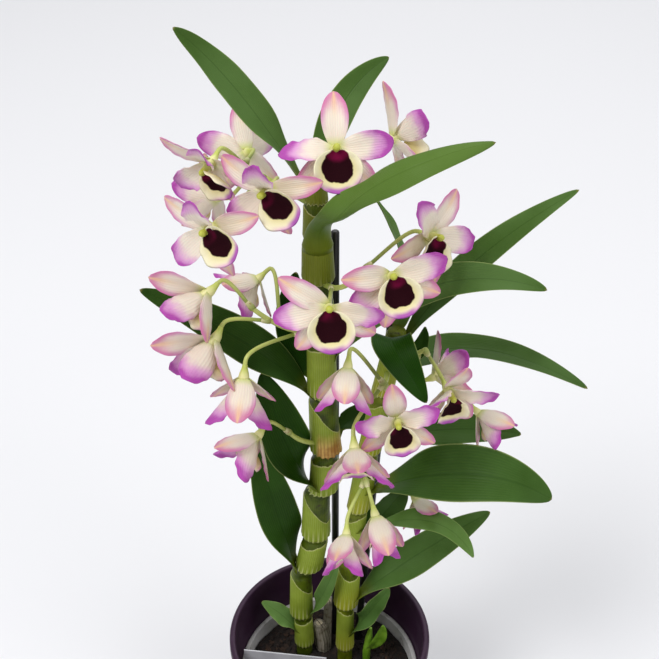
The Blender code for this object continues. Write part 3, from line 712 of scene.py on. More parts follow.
BLACK_PLASTIC, tree, shader = new_finish("black stake plastic", 0.35)
dust = fade(tree, grain(tree, 160, 5.0), 0.5, 0.8)
cover(tree, shader, blend(tree, dust, (16, 17, 19), (44, 44, 46)), grain(tree, 1200, 2.0), 0.0002, 0.25)
print("stem finishes:", STALK_GREEN.name, BLACK_PLASTIC.name)

# %% [markdown]
# The stakes are plain black tubes with rounded ends, and the first holds the cane with a clip.

# %% Stakes and clip
STAKE_END, STAKE_SIDES = 1.2 * MM, 16
CLIP_RADIUS, CLIP_STEPS = 1.3 * MM, 9


def stake_path(ends):
    """A straight path whose radius closes in at both ends."""
    low, high = (Vector(point) * MM for point in ends)
    long = (high - low).length
    cap, end = 0.3 * STAKE_END / long, STAKE_END / long
    parts = (0, cap, end, 1 - end, 1 - cap, 1)
    shares = (0.6, 0.86, 1, 1, 0.86, 0.6)
    return [low.lerp(high, part) for part in parts], [STAKE_RADIUS * share for share in shares]


def arc_through(first, middle, last, part):
    """A point on the smooth arc that passes the middle point half way."""
    pull = 2 * middle - (first + last) / 2
    return first * (1 - part) ** 2 + pull * 2 * part * (1 - part) + last * part**2


clip_ends = [Vector(point) * MM for point in CLIP]
clip_path = [arc_through(*clip_ends, part) for part in np.linspace(0, 1, CLIP_STEPS)]
main_paths = [stake_path(MAIN_STAKE), (clip_path, [CLIP_RADIUS] * CLIP_STEPS)]
for name, paths in (("stake_main", main_paths), ("stake_second", [stake_path(SECOND_STAKE)])):
    settle(stems(name, paths, BLACK_PLASTIC, STAKE_SIDES), name)
print("stakes stand", round(MAIN_STAKE[1][2]), "and", SECOND_STAKE[1][2], "mm high")

# %% [markdown]
# ## The blooms' numbers
# A flower stalk leaves the cane at a joint, and each bloom hangs from it on a thin pedicel. The table
# holds the stalk and the place on it, the bloom's middle, which way it faces, its roll, size and how
# far it has opened, from 0 shut to 1 flat. A few have tepals swung aside.

# %% Tables of the stalks and blooms
STALK_RADIUS, PEDICEL_RADIUS = 1.7 * MM, 1.25 * MM
STALKS = {
    "top_left": ("main", (-8, 20, 456), (-28, 26, 466), (-46, 32, 475)),
    "crown": ("main", (-7, 22, 466), (4, 29, 482), (18, 32, 492)),
    "left": ("main", (-6, 20, 372), (-24, 7, 384), (-43, 5, 399)),
    "low_left": ("main", (-4, 20, 286), (-16, 9, 297), (-24, 4, 308)),
    "right": ("main", (-6, 21, 408), (6, 4, 414), (19, 1, 428)),
    "front": ("second", (35, 18, 346), (33, 2, 350), (31, -8, 356)),
    "far_right": ("second", (37, 19, 356), (45, 2, 368), (54, -4, 377)),
    "far_low": ("second", (27, 18, 298), (50, 16, 306), (72, 14, 314)),
    "low_right": ("second", (22, 13, 262), (21, -2, 272), (22, -9, 282)),
    "low_back": ("second", (19, 14, 236), (32, 19, 248), (42, 20, 251)),
}
BLOOM_LENGTH = 30 * MM
BLOOMS = {
    "bloom_top_left_1": ("top_left", 1.0, (-62, 14, 486), (-30, -25), 55, 0.95, 0.80, ()),
    "bloom_top_left_2": ("top_left", 0.55, (-31, -12, 484), (-20, 0), 65, 1.0, 0.95, ()),
    "bloom_top_left_3": ("top_left", 0.7, (-60, -18, 465), (-25, 5), 70, 1.0, 0.90, ()),
    "bloom_top_left_4": ("top_left", 0.85, (-63, 36, 453), (-130, -15), 25, 0.85, 0.60, ()),
    "bloom_top_left_5": ("top_left", 1.0, (-46, 54, 472), (-150, -30), 10, 0.95, 0.80, ()),
    "bloom_crown_1": ("crown", 0.5, (3, 0, 500), (5, 30), 0, 1.0, 1.0, (0, 22, -18, 0, 0)),
    "bloom_crown_2": ("crown", 1.0, (33, 20, 497), (115, 10), -15, 0.95, 0.80, ()),
    "bloom_left_1": ("left", 1.0, (-68, 5, 410), (-60, -30), 40, 1.1, 0.50, ()),
    "bloom_left_2": ("left", 0.75, (-65, -5, 385), (-40, -40), 40, 1.15, 0.50, ()),
    "bloom_left_3": ("left", 0.3, (-48, -20, 369), (-15, -65), -15, 1.1, 0.50, ()),
    "bloom_left_4": ("left", 0.6, (-42, 36, 399), (-75, -40), -30, 0.9, 0.60, ()),
    "bloom_low_left_1": ("low_left", 1.0, (-43, -8, 316), (-50, -40), 0, 1.0, 0.45, ()),
    "bloom_right_1": ("right", 0.3, (0, -35, 427), (0, 25), 5, 1.0, 1.0, (50, 25, -35, 0, 10)),
    "bloom_right_2": ("right", 1.0, (33, -15, 434), (5, 25), 15, 1.0, 0.95, (70, 40, -20, 15, 10)),
    "bloom_right_3": ("right", 1.0, (54, 10, 444), (40, 10), -45, 1.0, 0.85, ()),
    "bloom_front_1": ("front", 1.0, (10, -24, 379), (-10, -50), -5, 1.0, 0.45, ()),
    "bloom_front_2": ("front", 0.8, (38, -30, 347), (5, 5), 10, 0.92, 0.80, (0, 0, 0, -18, 0)),
    "bloom_front_3": ("front", 0.9, (14, -40, 334), (5, -40), 5, 1.05, 0.55, ()),
    "bloom_far_right_1": ("far_right", 0.8, (62, 9, 348), (115, 10), -35, 0.9, 0.55, ()),
    "bloom_far_right_2": ("far_right", 1.0, (68, -10, 353), (20, -15), -5, 0.95, 0.70, ()),
    "bloom_far_right_3": ("far_low", 1.0, (91, 11, 318), (60, -35), 20, 0.85, 0.40, ()),
    "bloom_low_right_1": ("low_back", 1.0, (56, 15, 241), (40, -40), 10, 0.8, 0.50, ()),
    "bloom_low_right_2": ("low_right", 1.0, (28, -26, 267), (20, -45), 10, 1.0, 0.30, ()),
    "bloom_low_right_3": ("low_right", 0.9, (10, -36, 261), (-5, -35), 15, 0.95, 0.40, ()),
}
CHIN_END, PEDICEL_INSET = -7, 0.6
PEDICEL_STEPS, PEDICEL_STRAIGHT, PEDICEL_REACH = 15, 2.5, 0.23


def facing_way(facing):
    """The direction that an angle round from the front and an angle up point in."""
    around, up = (math.radians(angle) for angle in facing)
    return Vector((math.sin(around) * math.cos(up), -math.cos(around) * math.cos(up), math.sin(up)))


def bloom_frame(middle, facing, roll):
    """Local X right, Y towards the dorsal sepal and Z out of the face, as a matrix."""
    out = facing_way(facing)
    side = Vector((0, 0, 1)).cross(out).normalized()
    turn = Matrix.Rotation(math.radians(roll), 3, out)
    made = Matrix((turn @ side, turn @ out.cross(side), out)).transposed().to_4x4()
    made.translation = Vector(middle) * MM
    return made


print("blooms:", len(BLOOMS), "on", len(STALKS), "stalks")

# %% Grow the stalks and pedicels
STALK_STEPS = np.linspace(0, 1, 13)


def stalk_point(stalk, part):
    """A point on a flower stalk, from its root at 0 to its tip at 1."""
    return arc_through(*(Vector(point) * MM for point in STALKS[stalk][1:]), part)


def pedicel_path(bloom):
    """The thin stem from the stalk that comes up square behind its bloom, swelling at the end."""
    stalk, part, middle, facing, roll, size = BLOOMS[bloom][:6]
    out = facing_way(facing)
    start = stalk_point(stalk, part)
    seat = Vector(middle) * MM + out * (CHIN_END * size + PEDICEL_INSET) * MM
    end = seat - out * PEDICEL_STRAIGHT * MM
    reach = PEDICEL_REACH * (end - start).length
    pull = end - out * reach
    lift = start.lerp(end, 0.3) + Vector((0, 0, 0.1 * reach))
    path = []
    for step in np.linspace(0, 1, PEDICEL_STEPS):
        left, centre, right = start.lerp(lift, step), lift.lerp(pull, step), pull.lerp(end, step)
        path.append(left.lerp(centre, step).lerp(centre.lerp(right, step), step))
    path += [end.lerp(seat, share) for share in (0.5, 1)]
    swelling = [(step / (PEDICEL_STEPS + 1)) ** 3 for step in range(PEDICEL_STEPS + 2)]
    return path, [PEDICEL_RADIUS * (0.9 + 0.16 * share) for share in swelling]


def bract(bloom):
    """The small papery sleeve round the start of a pedicel."""
    path, _ = pedicel_path(bloom)
    first, way = path[0], (path[3] - path[0]).normalized()
    steps = ((-1, 0.6), (0, 1.9), (1.5, 2.0), (3.5, 1.75), (5, 1.5), (5.6, 0.9))
    return [first + way * (reach * MM) for reach, _ in steps], [radius * MM for _, radius in steps]


for cane in CANES:
    radii = [STALK_RADIUS * (1 - 0.2 * part) for part in STALK_STEPS]
    own = [stalk for stalk, plan in STALKS.items() if plan[0] == cane]
    borne = [bloom for bloom, plan in BLOOMS.items() if plan[0] in own]
    paths = [([stalk_point(stalk, part) for part in STALK_STEPS], radii) for stalk in own]
    paths += [pedicel_path(bloom) for bloom in borne]
    grown = settle(stems(f"stalks_{cane}", paths, STALK_GREEN), f"cane_{cane}")
    settle(stems(f"bracts_{cane}", [bract(bloom) for bloom in borne], BRACT_PAPER), f"cane_{cane}")
    print(grown.name, "stems", len(paths), "faces", len(grown.data.polygons))

# %% [markdown]
# ## Thin blades
# Leaves, sepals and petals are one idea: a grid of points laid over a curved surface, given a little
# thickness that thins out at the edge. One helper closes any such grid into a blade with a tip.


# %% The blade closer
def close_blade(grid, tip, thickness, shares):
    """Points and faces of a thin closed blade. grid is rows by columns by 3, and shares runs -1 to 1."""
    rows, columns = grid.shape[:2]
    beyond = np.vstack([grid[1:], np.broadcast_to(tip, (1, columns, 3))])
    ahead = beyond - np.vstack([grid[:1], grid[:-1]])
    lift = np.cross(ahead, np.gradient(grid, axis=1))
    lift /= np.maximum(np.linalg.norm(lift, axis=2, keepdims=True), 1e-12)
    body = np.clip(1 - np.abs(shares) ** 6, 0, 1)[None, :] * np.ones((rows, 1))
    body[0] = 0
    half = thickness / 2 * body[..., None]
    upper = np.arange(rows * columns).reshape(rows, columns)
    lower = upper.copy()
    spare = np.arange((rows - 1) * (columns - 2)).reshape(rows - 1, columns - 2)
    lower[1:, 1:-1] = rows * columns + spare
    points = np.vstack([(grid + lift * half).reshape(-1, 3), (grid - lift * half)[1:, 1:-1].reshape(-1, 3)])
    end = len(points)
    points = np.vstack([points, [tip]])
    faces = []
    for table, way in ((upper, 1), (lower, -1)):
        for i in range(rows - 1):
            for j in range(columns - 1):
                face = (table[i, j], table[i + 1, j], table[i + 1, j + 1], table[i, j + 1])
                faces.append(face[::way])
        for j in range(columns - 1):
            faces.append((table[-1, j], end, table[-1, j + 1])[::way])
    return points, faces


def blade_marks(values, tip):
    """A grid of marks in the order of close_blade's points."""
    return [*values.ravel(), *values[1:, 1:-1].ravel(), tip]


def under_marks(rows, columns):
    """1 on close_blade's first face, a leaf's underside, 0 on the other and half at the edge."""
    below = np.ones((rows, columns))
    below[:, 0] = below[:, -1] = 0.5
    return [*below.ravel(), *np.zeros((rows - 1) * (columns - 2)), 0.5]


def blade_shares(columns):
    """Places across a blade from -1 to 1, closer together towards its edges."""
    return np.sin(np.linspace(-1, 1, columns) * np.pi / 2)


def add_blade(skin, grid, tip, thickness, shares, parts, **marks):
    """Add a closed blade to a skin, marked along and across."""
    across, along = np.meshgrid(shares, parts)
    marks |= {"along": blade_marks(along, 1), "across": blade_marks(across, 0)}
    skin.add(*close_blade(np.array(grid), np.array(tip), thickness, shares), **marks)


def outline(part, peak, fullness):
    """Half width of a blade as a share of its widest."""
    return np.sin(np.pi * np.clip(part, 0, 1) ** peak) ** fullness


print("blades close with one tip each")

# %% [markdown]
# ## The leaves
# The strap leaves are leathery, folded along the midrib and only softly shining, with fine parallel
# veins, a paler underside and a thin light margin. Each clasps its cane at the root, as a leaf does
# above its sheath, and twists to show its face. One at the top wraps the cane widely and shows its back.

# %% Leaf finish
LEAF_GREEN, tree, shader = new_finish("leaf skin", 0.4, Specular_IOR_Level=0.08)
across, along, tone = (mark(tree, name) for name in ("across", "along", "tone"))
side = maths(tree, "ABSOLUTE", across)
patch = mottling(tree, 22.0, tone)
# The tone mark sets a leaf's whole green from dark to light: its own green, with the light and shade of
# where it hangs painted in
deep = blend(tree, tone, (12, 44, 0), (84, 116, 50))
light = blend(tree, tone, (26, 64, 0), (106, 138, 76))
colour = blend(tree, patch, deep, light)
lines = veins(tree, across, along, 62.0)
colour = blend(tree, lines, colour, (100, 136, 40), 0.06)
rib = inverse(tree, fade(tree, side, 0.0, 0.06))
colour = blend(tree, rib, colour, (26, 56, 10), 0.3)
colour = blend(tree, fade(tree, side, 0.94, 1.0), colour, (176, 188, 118), 0.55)
colour = blend(tree, mark(tree, "under"), colour, (92, 118, 40), 0.5)
root = inverse(tree, fade(tree, along, 0.02, 0.16))
colour = blend(tree, root, colour, (100, 110, 16), 0.8)
colour = blend(tree, fade(tree, along, 0.985, 1.0), colour, (150, 130, 70), 0.6)
rough = maths(tree, "MULTIPLY_ADD", patch, 0.12, 0.34)
ridges = maths(tree, "SUBTRACT", lines, times(tree, rib, 3.0))
cover(tree, shader, colour, ridges, 0.0002, 0.35, rough)
print("leaf finish:", LEAF_GREEN.name)

# %% Grow the leaves
LEAF_FOLD, LEAF_THICKNESS, CLASP_ROOM = 0.28, 1.0 * MM, 0.8 * MM
LEAF_ROWS, LEAF_COLUMNS, TURNED_BY = 44, 15, 0.52
# Cane, height and side of the joint, middle, tip, where the upper face looks, width, and how light
# its green is, its own green with the light and shade of its place painted in, where None leaves
# that to chance
LEAVES = {
    "leaf_top_1": ("main", 466, -75, (-46, 30, 516), (-77, 20, 556), (20, 30), 18, 0.6),
    "leaf_top_2": ("main", 464, 150, (6, 47, 501), (32, 60, 525), (-10, 20), 18, 0.5),
    "leaf_top_3": ("main", 428, 5, (19, -35, 495), (78, -35, 521), (180, -60), 19.5, 0.6),
    "leaf_top_4": ("second", 366, 175, (44, 46, 400), (26, 50, 445), (75, 20), 14, 0.95),
    "leaf_right_1": ("second", 364, 95, (81, 30, 412), (137, 30, 461), (-5, 55), 18, 0.6),
    "leaf_right_2": ("main", 352, 105, (56, 10, 410), (118, -8, 420), (0, 60), 23, 0.55),
    "leaf_right_3": ("second", 340, 145, (92, 46, 340), (154, 8, 339), (-10, 85), 23, 0.45),
    "leaf_right_4": ("second", 368, 0, (36, -12, 385), (54, -32, 361), (0, 40), 23, 0.0),
    "leaf_right_5": ("second", 350, 90, (53, 19, 360), (56, 20, 376), (-20, 30), 10, None),
    "leaf_right_6": ("second", 289, 125, (81, 36, 283), (123, 30, 284), (0, 60), 22, 0.35),
    "leaf_low_right_1": ("second", 252, 60, (83, -10, 287), (134, -25, 280), (0, 50), 36, 0.3),
    "leaf_low_right_2": ("second", 150, 80, (63, 28, 177), (112, 45, 200), (5, 45), 25, 0.5),
    "leaf_low_right_3": ("second", 218, 45, (64, -4, 240), (92, -18, 222), (0, 75), 16, 1.0),
    "leaf_low_right_4": ("second", 205, 110, (40, 27, 223), (50, 31, 236), (20, 20), 20, None),
    "leaf_mid_1": ("main", 290, 120, (14, 36, 292), (27, 46, 297), (0, 45), 14, None),
    "leaf_left_1": ("main", 326, -80, (-51, 26, 360), (-110, 26, 398), (10, 50), 26, 0.15),
    "leaf_left_2": ("main", 250, -60, (-28, 12, 297), (-41, 20, 342), (20, 25), 31, 0.05),
    "leaf_left_3": ("main", 172, -90, (-36, 24, 225), (-49, 36, 272), (15, 25), 28, 0.1),
    "leaf_left_4": ("main", 330, 175, (-21, 48, 354), (-20, 53, 393), (0, 15), 24, 0.0),
    "leaf_foot_1": ("main", 108, -60, (-34, 22, 118), (-49, 28, 126), (5, 70), 14, 0.75),
    "leaf_foot_2": ("main", 124, 60, (-3, 6, 164), (6, 2, 199), (-20, 10), 11, 0.7),
    "leaf_foot_3": ("second", 112, 60, (29, 2, 149), (41, 4, 168), (15, 25), 14, 0.4),
}
# How far round its cane a leaf wraps, up to which share of its length, and how much of the lower
# side is pinched away
PLAIN_CLASP, CLASPS = (50, 0.07, 0), {"leaf_top_3": (80, 0.3, 0.65)}
PINCH_AT, PINCH_SPREAD = 0.36, 0.2


def ease(value):
    """A soft step from 0 to 1."""
    value = min(1, max(0, value))
    return value * value * (3 - 2 * value)


def clear_of(point, rings, room):
    """Move a point out sideways until it has room beside a stem."""
    if point.z > rings[-1, 2]:
        return point
    near = [stem_at(rings, point.z + step * MM) for step in (-4, 0, 4)]
    away = Vector((point.x - near[1][0].x, point.y - near[1][0].y, 0))
    least = max(radius for _, radius in near) + room
    if away.length >= least:
        return point
    return near[1][0] + away.normalized() * least


def grow_leaf(name):
    """A folded blade from its joint through its middle to its tip, with a slight wave."""
    cane, height, around, middle, tip, facing, width, tone = LEAVES[name]
    chance = random.Random(name)
    outward = facing_way((around, 0))
    centre, radius = stem_at(STEMS[cane], height * MM)
    root = centre + outward * (radius + GAP)
    middle, tip = Vector(middle) * MM, Vector(tip) * MM
    face = facing_way(facing)
    at_root = (Vector((0, 0, 1)) - outward).normalized()
    parts = 1 - (1 - np.linspace(0, 1, LEAF_ROWS + 1)[:-1]) ** 1.25
    shares = blade_shares(LEAF_COLUMNS)
    wave, turns = chance.uniform(0.2, 0.6) * MM, chance.uniform(2, 4)
    wrap, clasp, pinch = CLASPS.get(name, PLAIN_CLASP)
    rows = []
    for part in parts:
        place = arc_through(root, middle, tip, part)
        ahead = arc_through(root, middle, tip, part + 0.01) - place
        upper = at_root.lerp(face, ease(part / TURNED_BY))
        side = ahead.cross(upper).normalized()
        normal = side.cross(ahead).normalized()
        half = width * MM / 2 * float(outline(0.03 + 0.97 * part, 0.88, 0.6))
        low_side = 1 - pinch * math.exp(-(((part - PINCH_AT) / PINCH_SPREAD) ** 2))
        free = ease(part / clasp)
        room = CLASP_ROOM * min(1, 0.25 + part / 0.05)
        row = []
        for share in shares:
            fold = LEAF_FOLD * half * abs(share) ** 1.3
            fold += wave * share**3 * math.sin(2 * math.pi * turns * part) * min(1, 4 * part)
            point = place + side * half * share * (low_side if share < 0 else 1) + normal * fold
            if free < 1:
                hug = Matrix.Rotation(-math.radians(wrap) * share * (1 - 0.7 * free), 3, "Z") @ outward
                foot, girth = stem_at(STEMS[cane], place.z)
                point = (foot + hug * (girth + room)).lerp(point, free)
            for rings in STEMS.values():
                point = clear_of(point, rings, room)
            row.append(point)
        rows.append(row)
    skin = Skin()
    under = under_marks(LEAF_ROWS, LEAF_COLUMNS)
    drawn = chance.uniform(0.0, 0.45)
    tone = drawn if tone is None else tone
    add_blade(skin, rows, tip, LEAF_THICKNESS, shares, parts, under=under, tone=tone)
    return skin.finish(name, name, [LEAF_GREEN])


leaves = [grow_leaf(name) for name in LEAVES]
print("leaves:", len(leaves), "faces each", len(leaves[0].data.polygons))

# %% [markdown]
# ## The blooms
# A nobile flower has three sepals behind two broader petals, and a cupped lip with a velvety blotch
# in its throat. Purple floods the tips of the petals and the end of the lip. The sepals fade to pink
# and peach. All the tepals share one bent and cupped blade, told apart by their table row.

# %% Petal, lip and column finishes
PETAL_SKIN, tree, shader = new_finish("petal skin", 0.5, Sheen_Weight=0.1, Subsurface_Weight=0.1)
shader.inputs["Subsurface Radius"].default_value = (0.004, 0.002, 0.002)
across, along, petal, tone = (mark(tree, name) for name in ("across", "along", "under", "tone"))
side = maths(tree, "ABSOLUTE", across)
petal = fade(tree, petal, 0.6, 0.9)
lines = veins(tree, across, along, 34.0)
stain = maths(tree, "MULTIPLY_ADD", grain(tree, 160, 3.0), 0.24, -0.12)
reach = maths(tree, "MULTIPLY_ADD", maths(tree, "POWER", side, 2.5), 0.22, along)
reach = maths(tree, "ADD", maths(tree, "ADD", reach, stain), times(tree, tone, 0.12))
cream = blend(tree, fade(tree, along, 0.0, 0.22), (204, 212, 122), (232, 220, 202))
blush = times(tree, fade(tree, side, 0.5, 1.0), fade(tree, along, 0.15, 0.6))
sepal = blend(tree, blush, cream, (196, 100, 176), 0.8)
sepal = blend(tree, fade(tree, reach, 0.62, 1.05), sepal, (204, 108, 156), 0.85)
keel = inverse(tree, fade(tree, side, 0.0, 0.42))
keel = times(tree, keel, fade(tree, along, 0.35, 0.95))
sepal = blend(tree, keel, sepal, (238, 200, 140), 0.75)
flood = blend(tree, fade(tree, reach, 0.56, 0.86), cream, (212, 146, 200))
flood = blend(tree, fade(tree, reach, 0.8, 1.0), flood, (170, 54, 162))
colour = blend(tree, petal, sepal, flood)
colour = blend(tree, lines, colour, (214, 150, 200), 0.08)
cover(tree, shader, colour, lines, 0.0003, 0.35)

LIP_SKIN, tree, shader = new_finish("lip skin", 0.8, Specular_IOR_Level=0.08)
share, down, limit = (mark(tree, name) for name in ("along", "across", "under"))
limb = blend(tree, fade(tree, share, 0.55, 0.95), (224, 212, 152), (238, 230, 196))
rose = times(tree, fade(tree, share, 0.8, 1.0), fade(tree, down, 0.2, 0.8))
limb = blend(tree, rose, limb, (214, 140, 200), 0.85)
spot = times(tree, fade(tree, share, 0.72, 0.9), fade(tree, down, 0.8, 0.98))
limb = blend(tree, spot, limb, (168, 76, 172), 0.9)
ragged = maths(tree, "ADD", limit, maths(tree, "MULTIPLY_ADD", grain(tree, 350, 2.0), 0.14, -0.07))
blotch = inverse(tree, fade(tree, ragged, 0.96, 1.04))
# A painted crimson sheen of the velvet, near the top of the blotch under the column
painted_crimson_sheen = inverse(tree, fade(tree, down, -1.0, -0.4))
painted_crimson_sheen = times(tree, painted_crimson_sheen, fade(tree, share, 0.1, 0.5))
painted_crimson_sheen = times(tree, painted_crimson_sheen, fade(tree, grain(tree, 90, 1.0), 0.3, 0.7))
dark = blend(tree, painted_crimson_sheen, (34, 2, 10), (104, 6, 50))
cover(tree, shader, blend(tree, blotch, limb, dark), grain(tree, 1500, 2.0), 0.0003, 0.4)

COLUMN_SKIN, tree, shader = new_finish("column skin", 0.45)
rise = mark(tree, "along")
colour = blend(tree, fade(tree, rise, 0.1, 0.4), (190, 200, 96), (226, 222, 158))
colour = blend(tree, fade(tree, rise, 0.5, 0.8), colour, (186, 190, 70))
cover(tree, shader, colour, grain(tree, 800, 2.0), 0.0002, 0.3)
print("bloom finishes:", PETAL_SKIN.name, LIP_SKIN.name, COLUMN_SKIN.name)

# %% [markdown]
# A tepal's midline starts at the middle of the flower and rises, then bends back as it goes out. The
# row at each step is as wide as the outline says, cupped along its length, and waved on the petals. A
# fine ripple runs along the edges of the petals, and a shallow groove marks each middle.

# %% One tepal
TEPAL_THICKNESS, TEPAL_LAYER, PETAL_WAVE = 0.8 * MM, 0.9 * MM, 1.0 * MM
TEPAL_STATIONS = (0, 0.27, 0.56, 0.83, 1)
TEPALS = (
    (0, 1.0, 14.2, -1),
    (70, 1.0, 15.2, 1),
    (-70, 1.0, 15.2, 1),
    (138, 0.95, 12.6, -1),
    (-138, 0.95, 12.6, -1),
)
OPEN_RISE, SHUT_RISE, LAYER_RISE, OPEN_BEND, SHUT_BEND = 14, 76, 4, 42, -20
TEPAL_CUP, SHUT_PETAL_CUP, WAVED_FROM_OPENING = 0.2, 0.5, 0.75
SEPAL_SHAPE, PETAL_SHAPE = (1.15, 0.64), (1.35, 0.6)
SHUT_WIDTH, SEPAL_SPREAD, PETAL_CLOSE = 1.18, 8, 5
TEPAL_ROWS, TEPAL_COLUMNS = 26, 15
NO_CHANGE = (0, 0, 0, 0, 0)
LEANS = {
    "bloom_top_left_2": (0, 0, 38, 0, 0),
    "bloom_top_left_3": (0, 0, 32, 0, 0),
    "bloom_right_1": (22, 0, 0, 0, 0),
    "bloom_right_2": (34, 0, 0, 0, 0),
}
TWISTS = {
    "bloom_left_1": (60, 0, 0, 0, 0),
    "bloom_left_2": (60, 0, 0, 0, 0),
    "bloom_crown_1": (0, 45, 0, 0, 0),
    "bloom_right_1": (0, 0, 35, 0, 0),
}


def tepal(skin, turn, length, width, layer, rise, bend, cup, twist, wave, ripple, tone, petal):
    """Add one sepal or petal to a bloom's skin."""
    angle = math.radians(turn)
    outward = np.array([-math.sin(angle), math.cos(angle), 0])
    side = np.array([-math.cos(angle), -math.sin(angle), 0])
    upward = np.array([0, 0, 1.0])
    parts = np.linspace(0, 1, TEPAL_ROWS + 1)
    slopes = np.radians(rise - bend * (parts[1:] + parts[:-1]) / 2)
    steps = (np.cos(slopes)[:, None] * outward + np.sin(slopes)[:, None] * upward) * length / TEPAL_ROWS
    start = math.radians(rise)
    root = outward * (1.0 * MM - layer * math.sin(start)) + upward * layer * math.cos(start)
    middles = root + np.vstack([np.zeros(3), np.cumsum(steps, axis=0)])
    slopes = np.radians(rise - bend * parts)[:-1]
    along = np.cos(slopes)[:, None] * outward + np.sin(slopes)[:, None] * upward
    turns = np.radians(twist) * np.minimum(1, 0.3 + parts[:-1, None])
    across = np.cos(turns) * side + np.sin(turns) * np.cross(along, side)
    normal = np.cross(along, across)
    shares = blade_shares(TEPAL_COLUMNS)
    half = width / 2 * outline(0.09 + 0.91 * parts[:-1], *(PETAL_SHAPE if petal == 1 else SEPAL_SHAPE))
    station = np.interp(parts[:-1], TEPAL_STATIONS, range(len(TEPAL_STATIONS)))
    lift = cup * half[:, None] * shares**2
    lift += wave * shares**3 * np.cos(np.pi * station)[:, None]
    beat = np.sin(2 * np.pi * (4.5 * parts[:-1, None] + 0.3 * np.sign(shares)) + 9 * tone)
    lift += ripple * np.abs(shares) ** 4 * beat * np.minimum(1, 3 * parts[:-1, None])
    lift -= 0.3 * MM * np.exp(-((shares / 0.14) ** 2)) * np.sin(np.pi * parts[:-1, None])
    grid = middles[:-1, None, :] + across[:, None, :] * (half[:, None] * shares)[..., None]
    grid = grid + normal[:, None, :] * lift[..., None]
    add_blade(skin, grid, middles[-1], TEPAL_THICKNESS, shares, parts[:-1], under=petal, tone=tone)


print("tepal grid:", TEPAL_ROWS, "by", TEPAL_COLUMNS)

# %% [markdown]
# The lip is a round dish below the column. Rings from its middle to its rim lift into a cup that is
# higher at the sides than at the end, and the rim is softly ruffled. The mark that paints the blotch
# is the distance from the middle over how far the blotch reaches in that direction.

# %% Lip and column
LIP_MIDDLE, LIP_SHUT_SHIFT, LIP_SHRINK, LIP_THICKNESS = (0, -8.5, 5), (0, 6, 9), 0.5, 1.0 * MM
LIP_TURNS, LIP_RINGS = 64, 14
COLUMN_STEPS, COLUMN_SIDES = 22, 18
# Height, shift towards the top sepal, and radius, from the swelling behind to the column's tip
CHIN = ((-7, 0, 1.35), (-5, -0.3, 1.6), (-2.5, -0.5, 2.5), (0.5, -0.3, 3.0))
CHIN += ((3, 0, 2.4), (6.5, 0.4, 1.8), (9.2, 0.7, 2.0), (10.5, 0.8, 0.8))


def lip(skin, shut, chance):
    """Add the cupped lip to a bloom's skin."""
    size = 1 - LIP_SHRINK * shut
    middle = (np.array(LIP_MIDDLE) + np.array(LIP_SHUT_SHIFT) * shut) * MM
    angle = np.linspace(0, 2 * np.pi, LIP_TURNS, endpoint=False)
    share = (np.arange(1, LIP_RINGS + 1) / LIP_RINGS)[:, None]
    down, over = np.cos(angle), np.sin(angle)
    reach = 11.2 + 3.0 * down + 0.9 * over**2
    reach = reach * np.interp(down, (-0.7, -0.3), (1, size))
    rim = 7.5 * over**2 + np.interp(down, (-0.3, 0.3), (1, 4)) * down**2
    phase = chance.uniform(0, 6)
    ruffle = (0.6 * np.cos(5 * angle) + 0.35 * np.sin(9 * angle + phase)) * share**3
    z = rim * share**2.13 + ruffle
    sheet = np.stack([over * reach * share, -down * reach * share, z], axis=2) * MM + middle
    thick = LIP_THICKNESS / 2 * np.sqrt(1 - share**4)[..., None] * np.array([0, 0, 1.0])
    upper, lower = sheet + thick, sheet - thick
    hubs = [middle + [0, 0, LIP_THICKNESS / 2], middle - [0, 0, LIP_THICKNESS / 2]]
    points = np.vstack([upper.reshape(-1, 3), lower[:-1].reshape(-1, 3), hubs])
    top = np.arange(LIP_RINGS * LIP_TURNS).reshape(LIP_RINGS, LIP_TURNS)
    bottom = top.copy()
    bottom[:-1] += LIP_RINGS * LIP_TURNS
    faces = []
    for table, hub in ((top, len(points) - 2), (bottom, len(points) - 1)):
        for side in range(LIP_TURNS):
            after = (side + 1) % LIP_TURNS
            faces.append((hub, table[0, side], table[0, after]))
            for row in range(LIP_RINGS - 1):
                near, far = table[row], table[row + 1]
                faces.append((near[side], far[side], far[after], near[after]))
    limit = np.interp(down, (-1, -0.5, 0.2, 0.9, 1), (1.0, 0.68, 0.64, 0.66, 0.6))
    limit = limit * (1 + 0.03 * np.sin(3 * angle + phase) + 0.02 * np.sin(8 * angle))
    share = share * np.ones(LIP_TURNS)
    blotch = np.minimum(share / limit, 3)
    down = np.ones((LIP_RINGS, 1)) * down

    def spread(values, hub):
        return [*values.ravel(), *values[:-1].ravel(), hub, hub]

    beneath = [*blotch.ravel(), *np.full(blotch[:-1].size, 2.0), 0, 2]
    skin.add(points, faces, 1, along=spread(share, 0), across=spread(down, 0), under=beneath)


def column(skin):
    """Add the short column and the swelling behind it."""
    _, (height, lift, radius) = at_steps(CHIN, COLUMN_STEPS)
    radius = np.convolve(np.pad(radius, 1, mode="edge"), np.ones(3) / 3, mode="valid")
    middles = np.stack([np.zeros(COLUMN_STEPS), lift, height], axis=1)
    rise = np.repeat(np.linspace(0, 1, COLUMN_STEPS), COLUMN_SIDES)
    skin.add(*round_skin(circles(middles, radius, COLUMN_SIDES)), 2, along=[*rise, 0, 1])


print("lip:", LIP_RINGS, "rings of", LIP_TURNS)

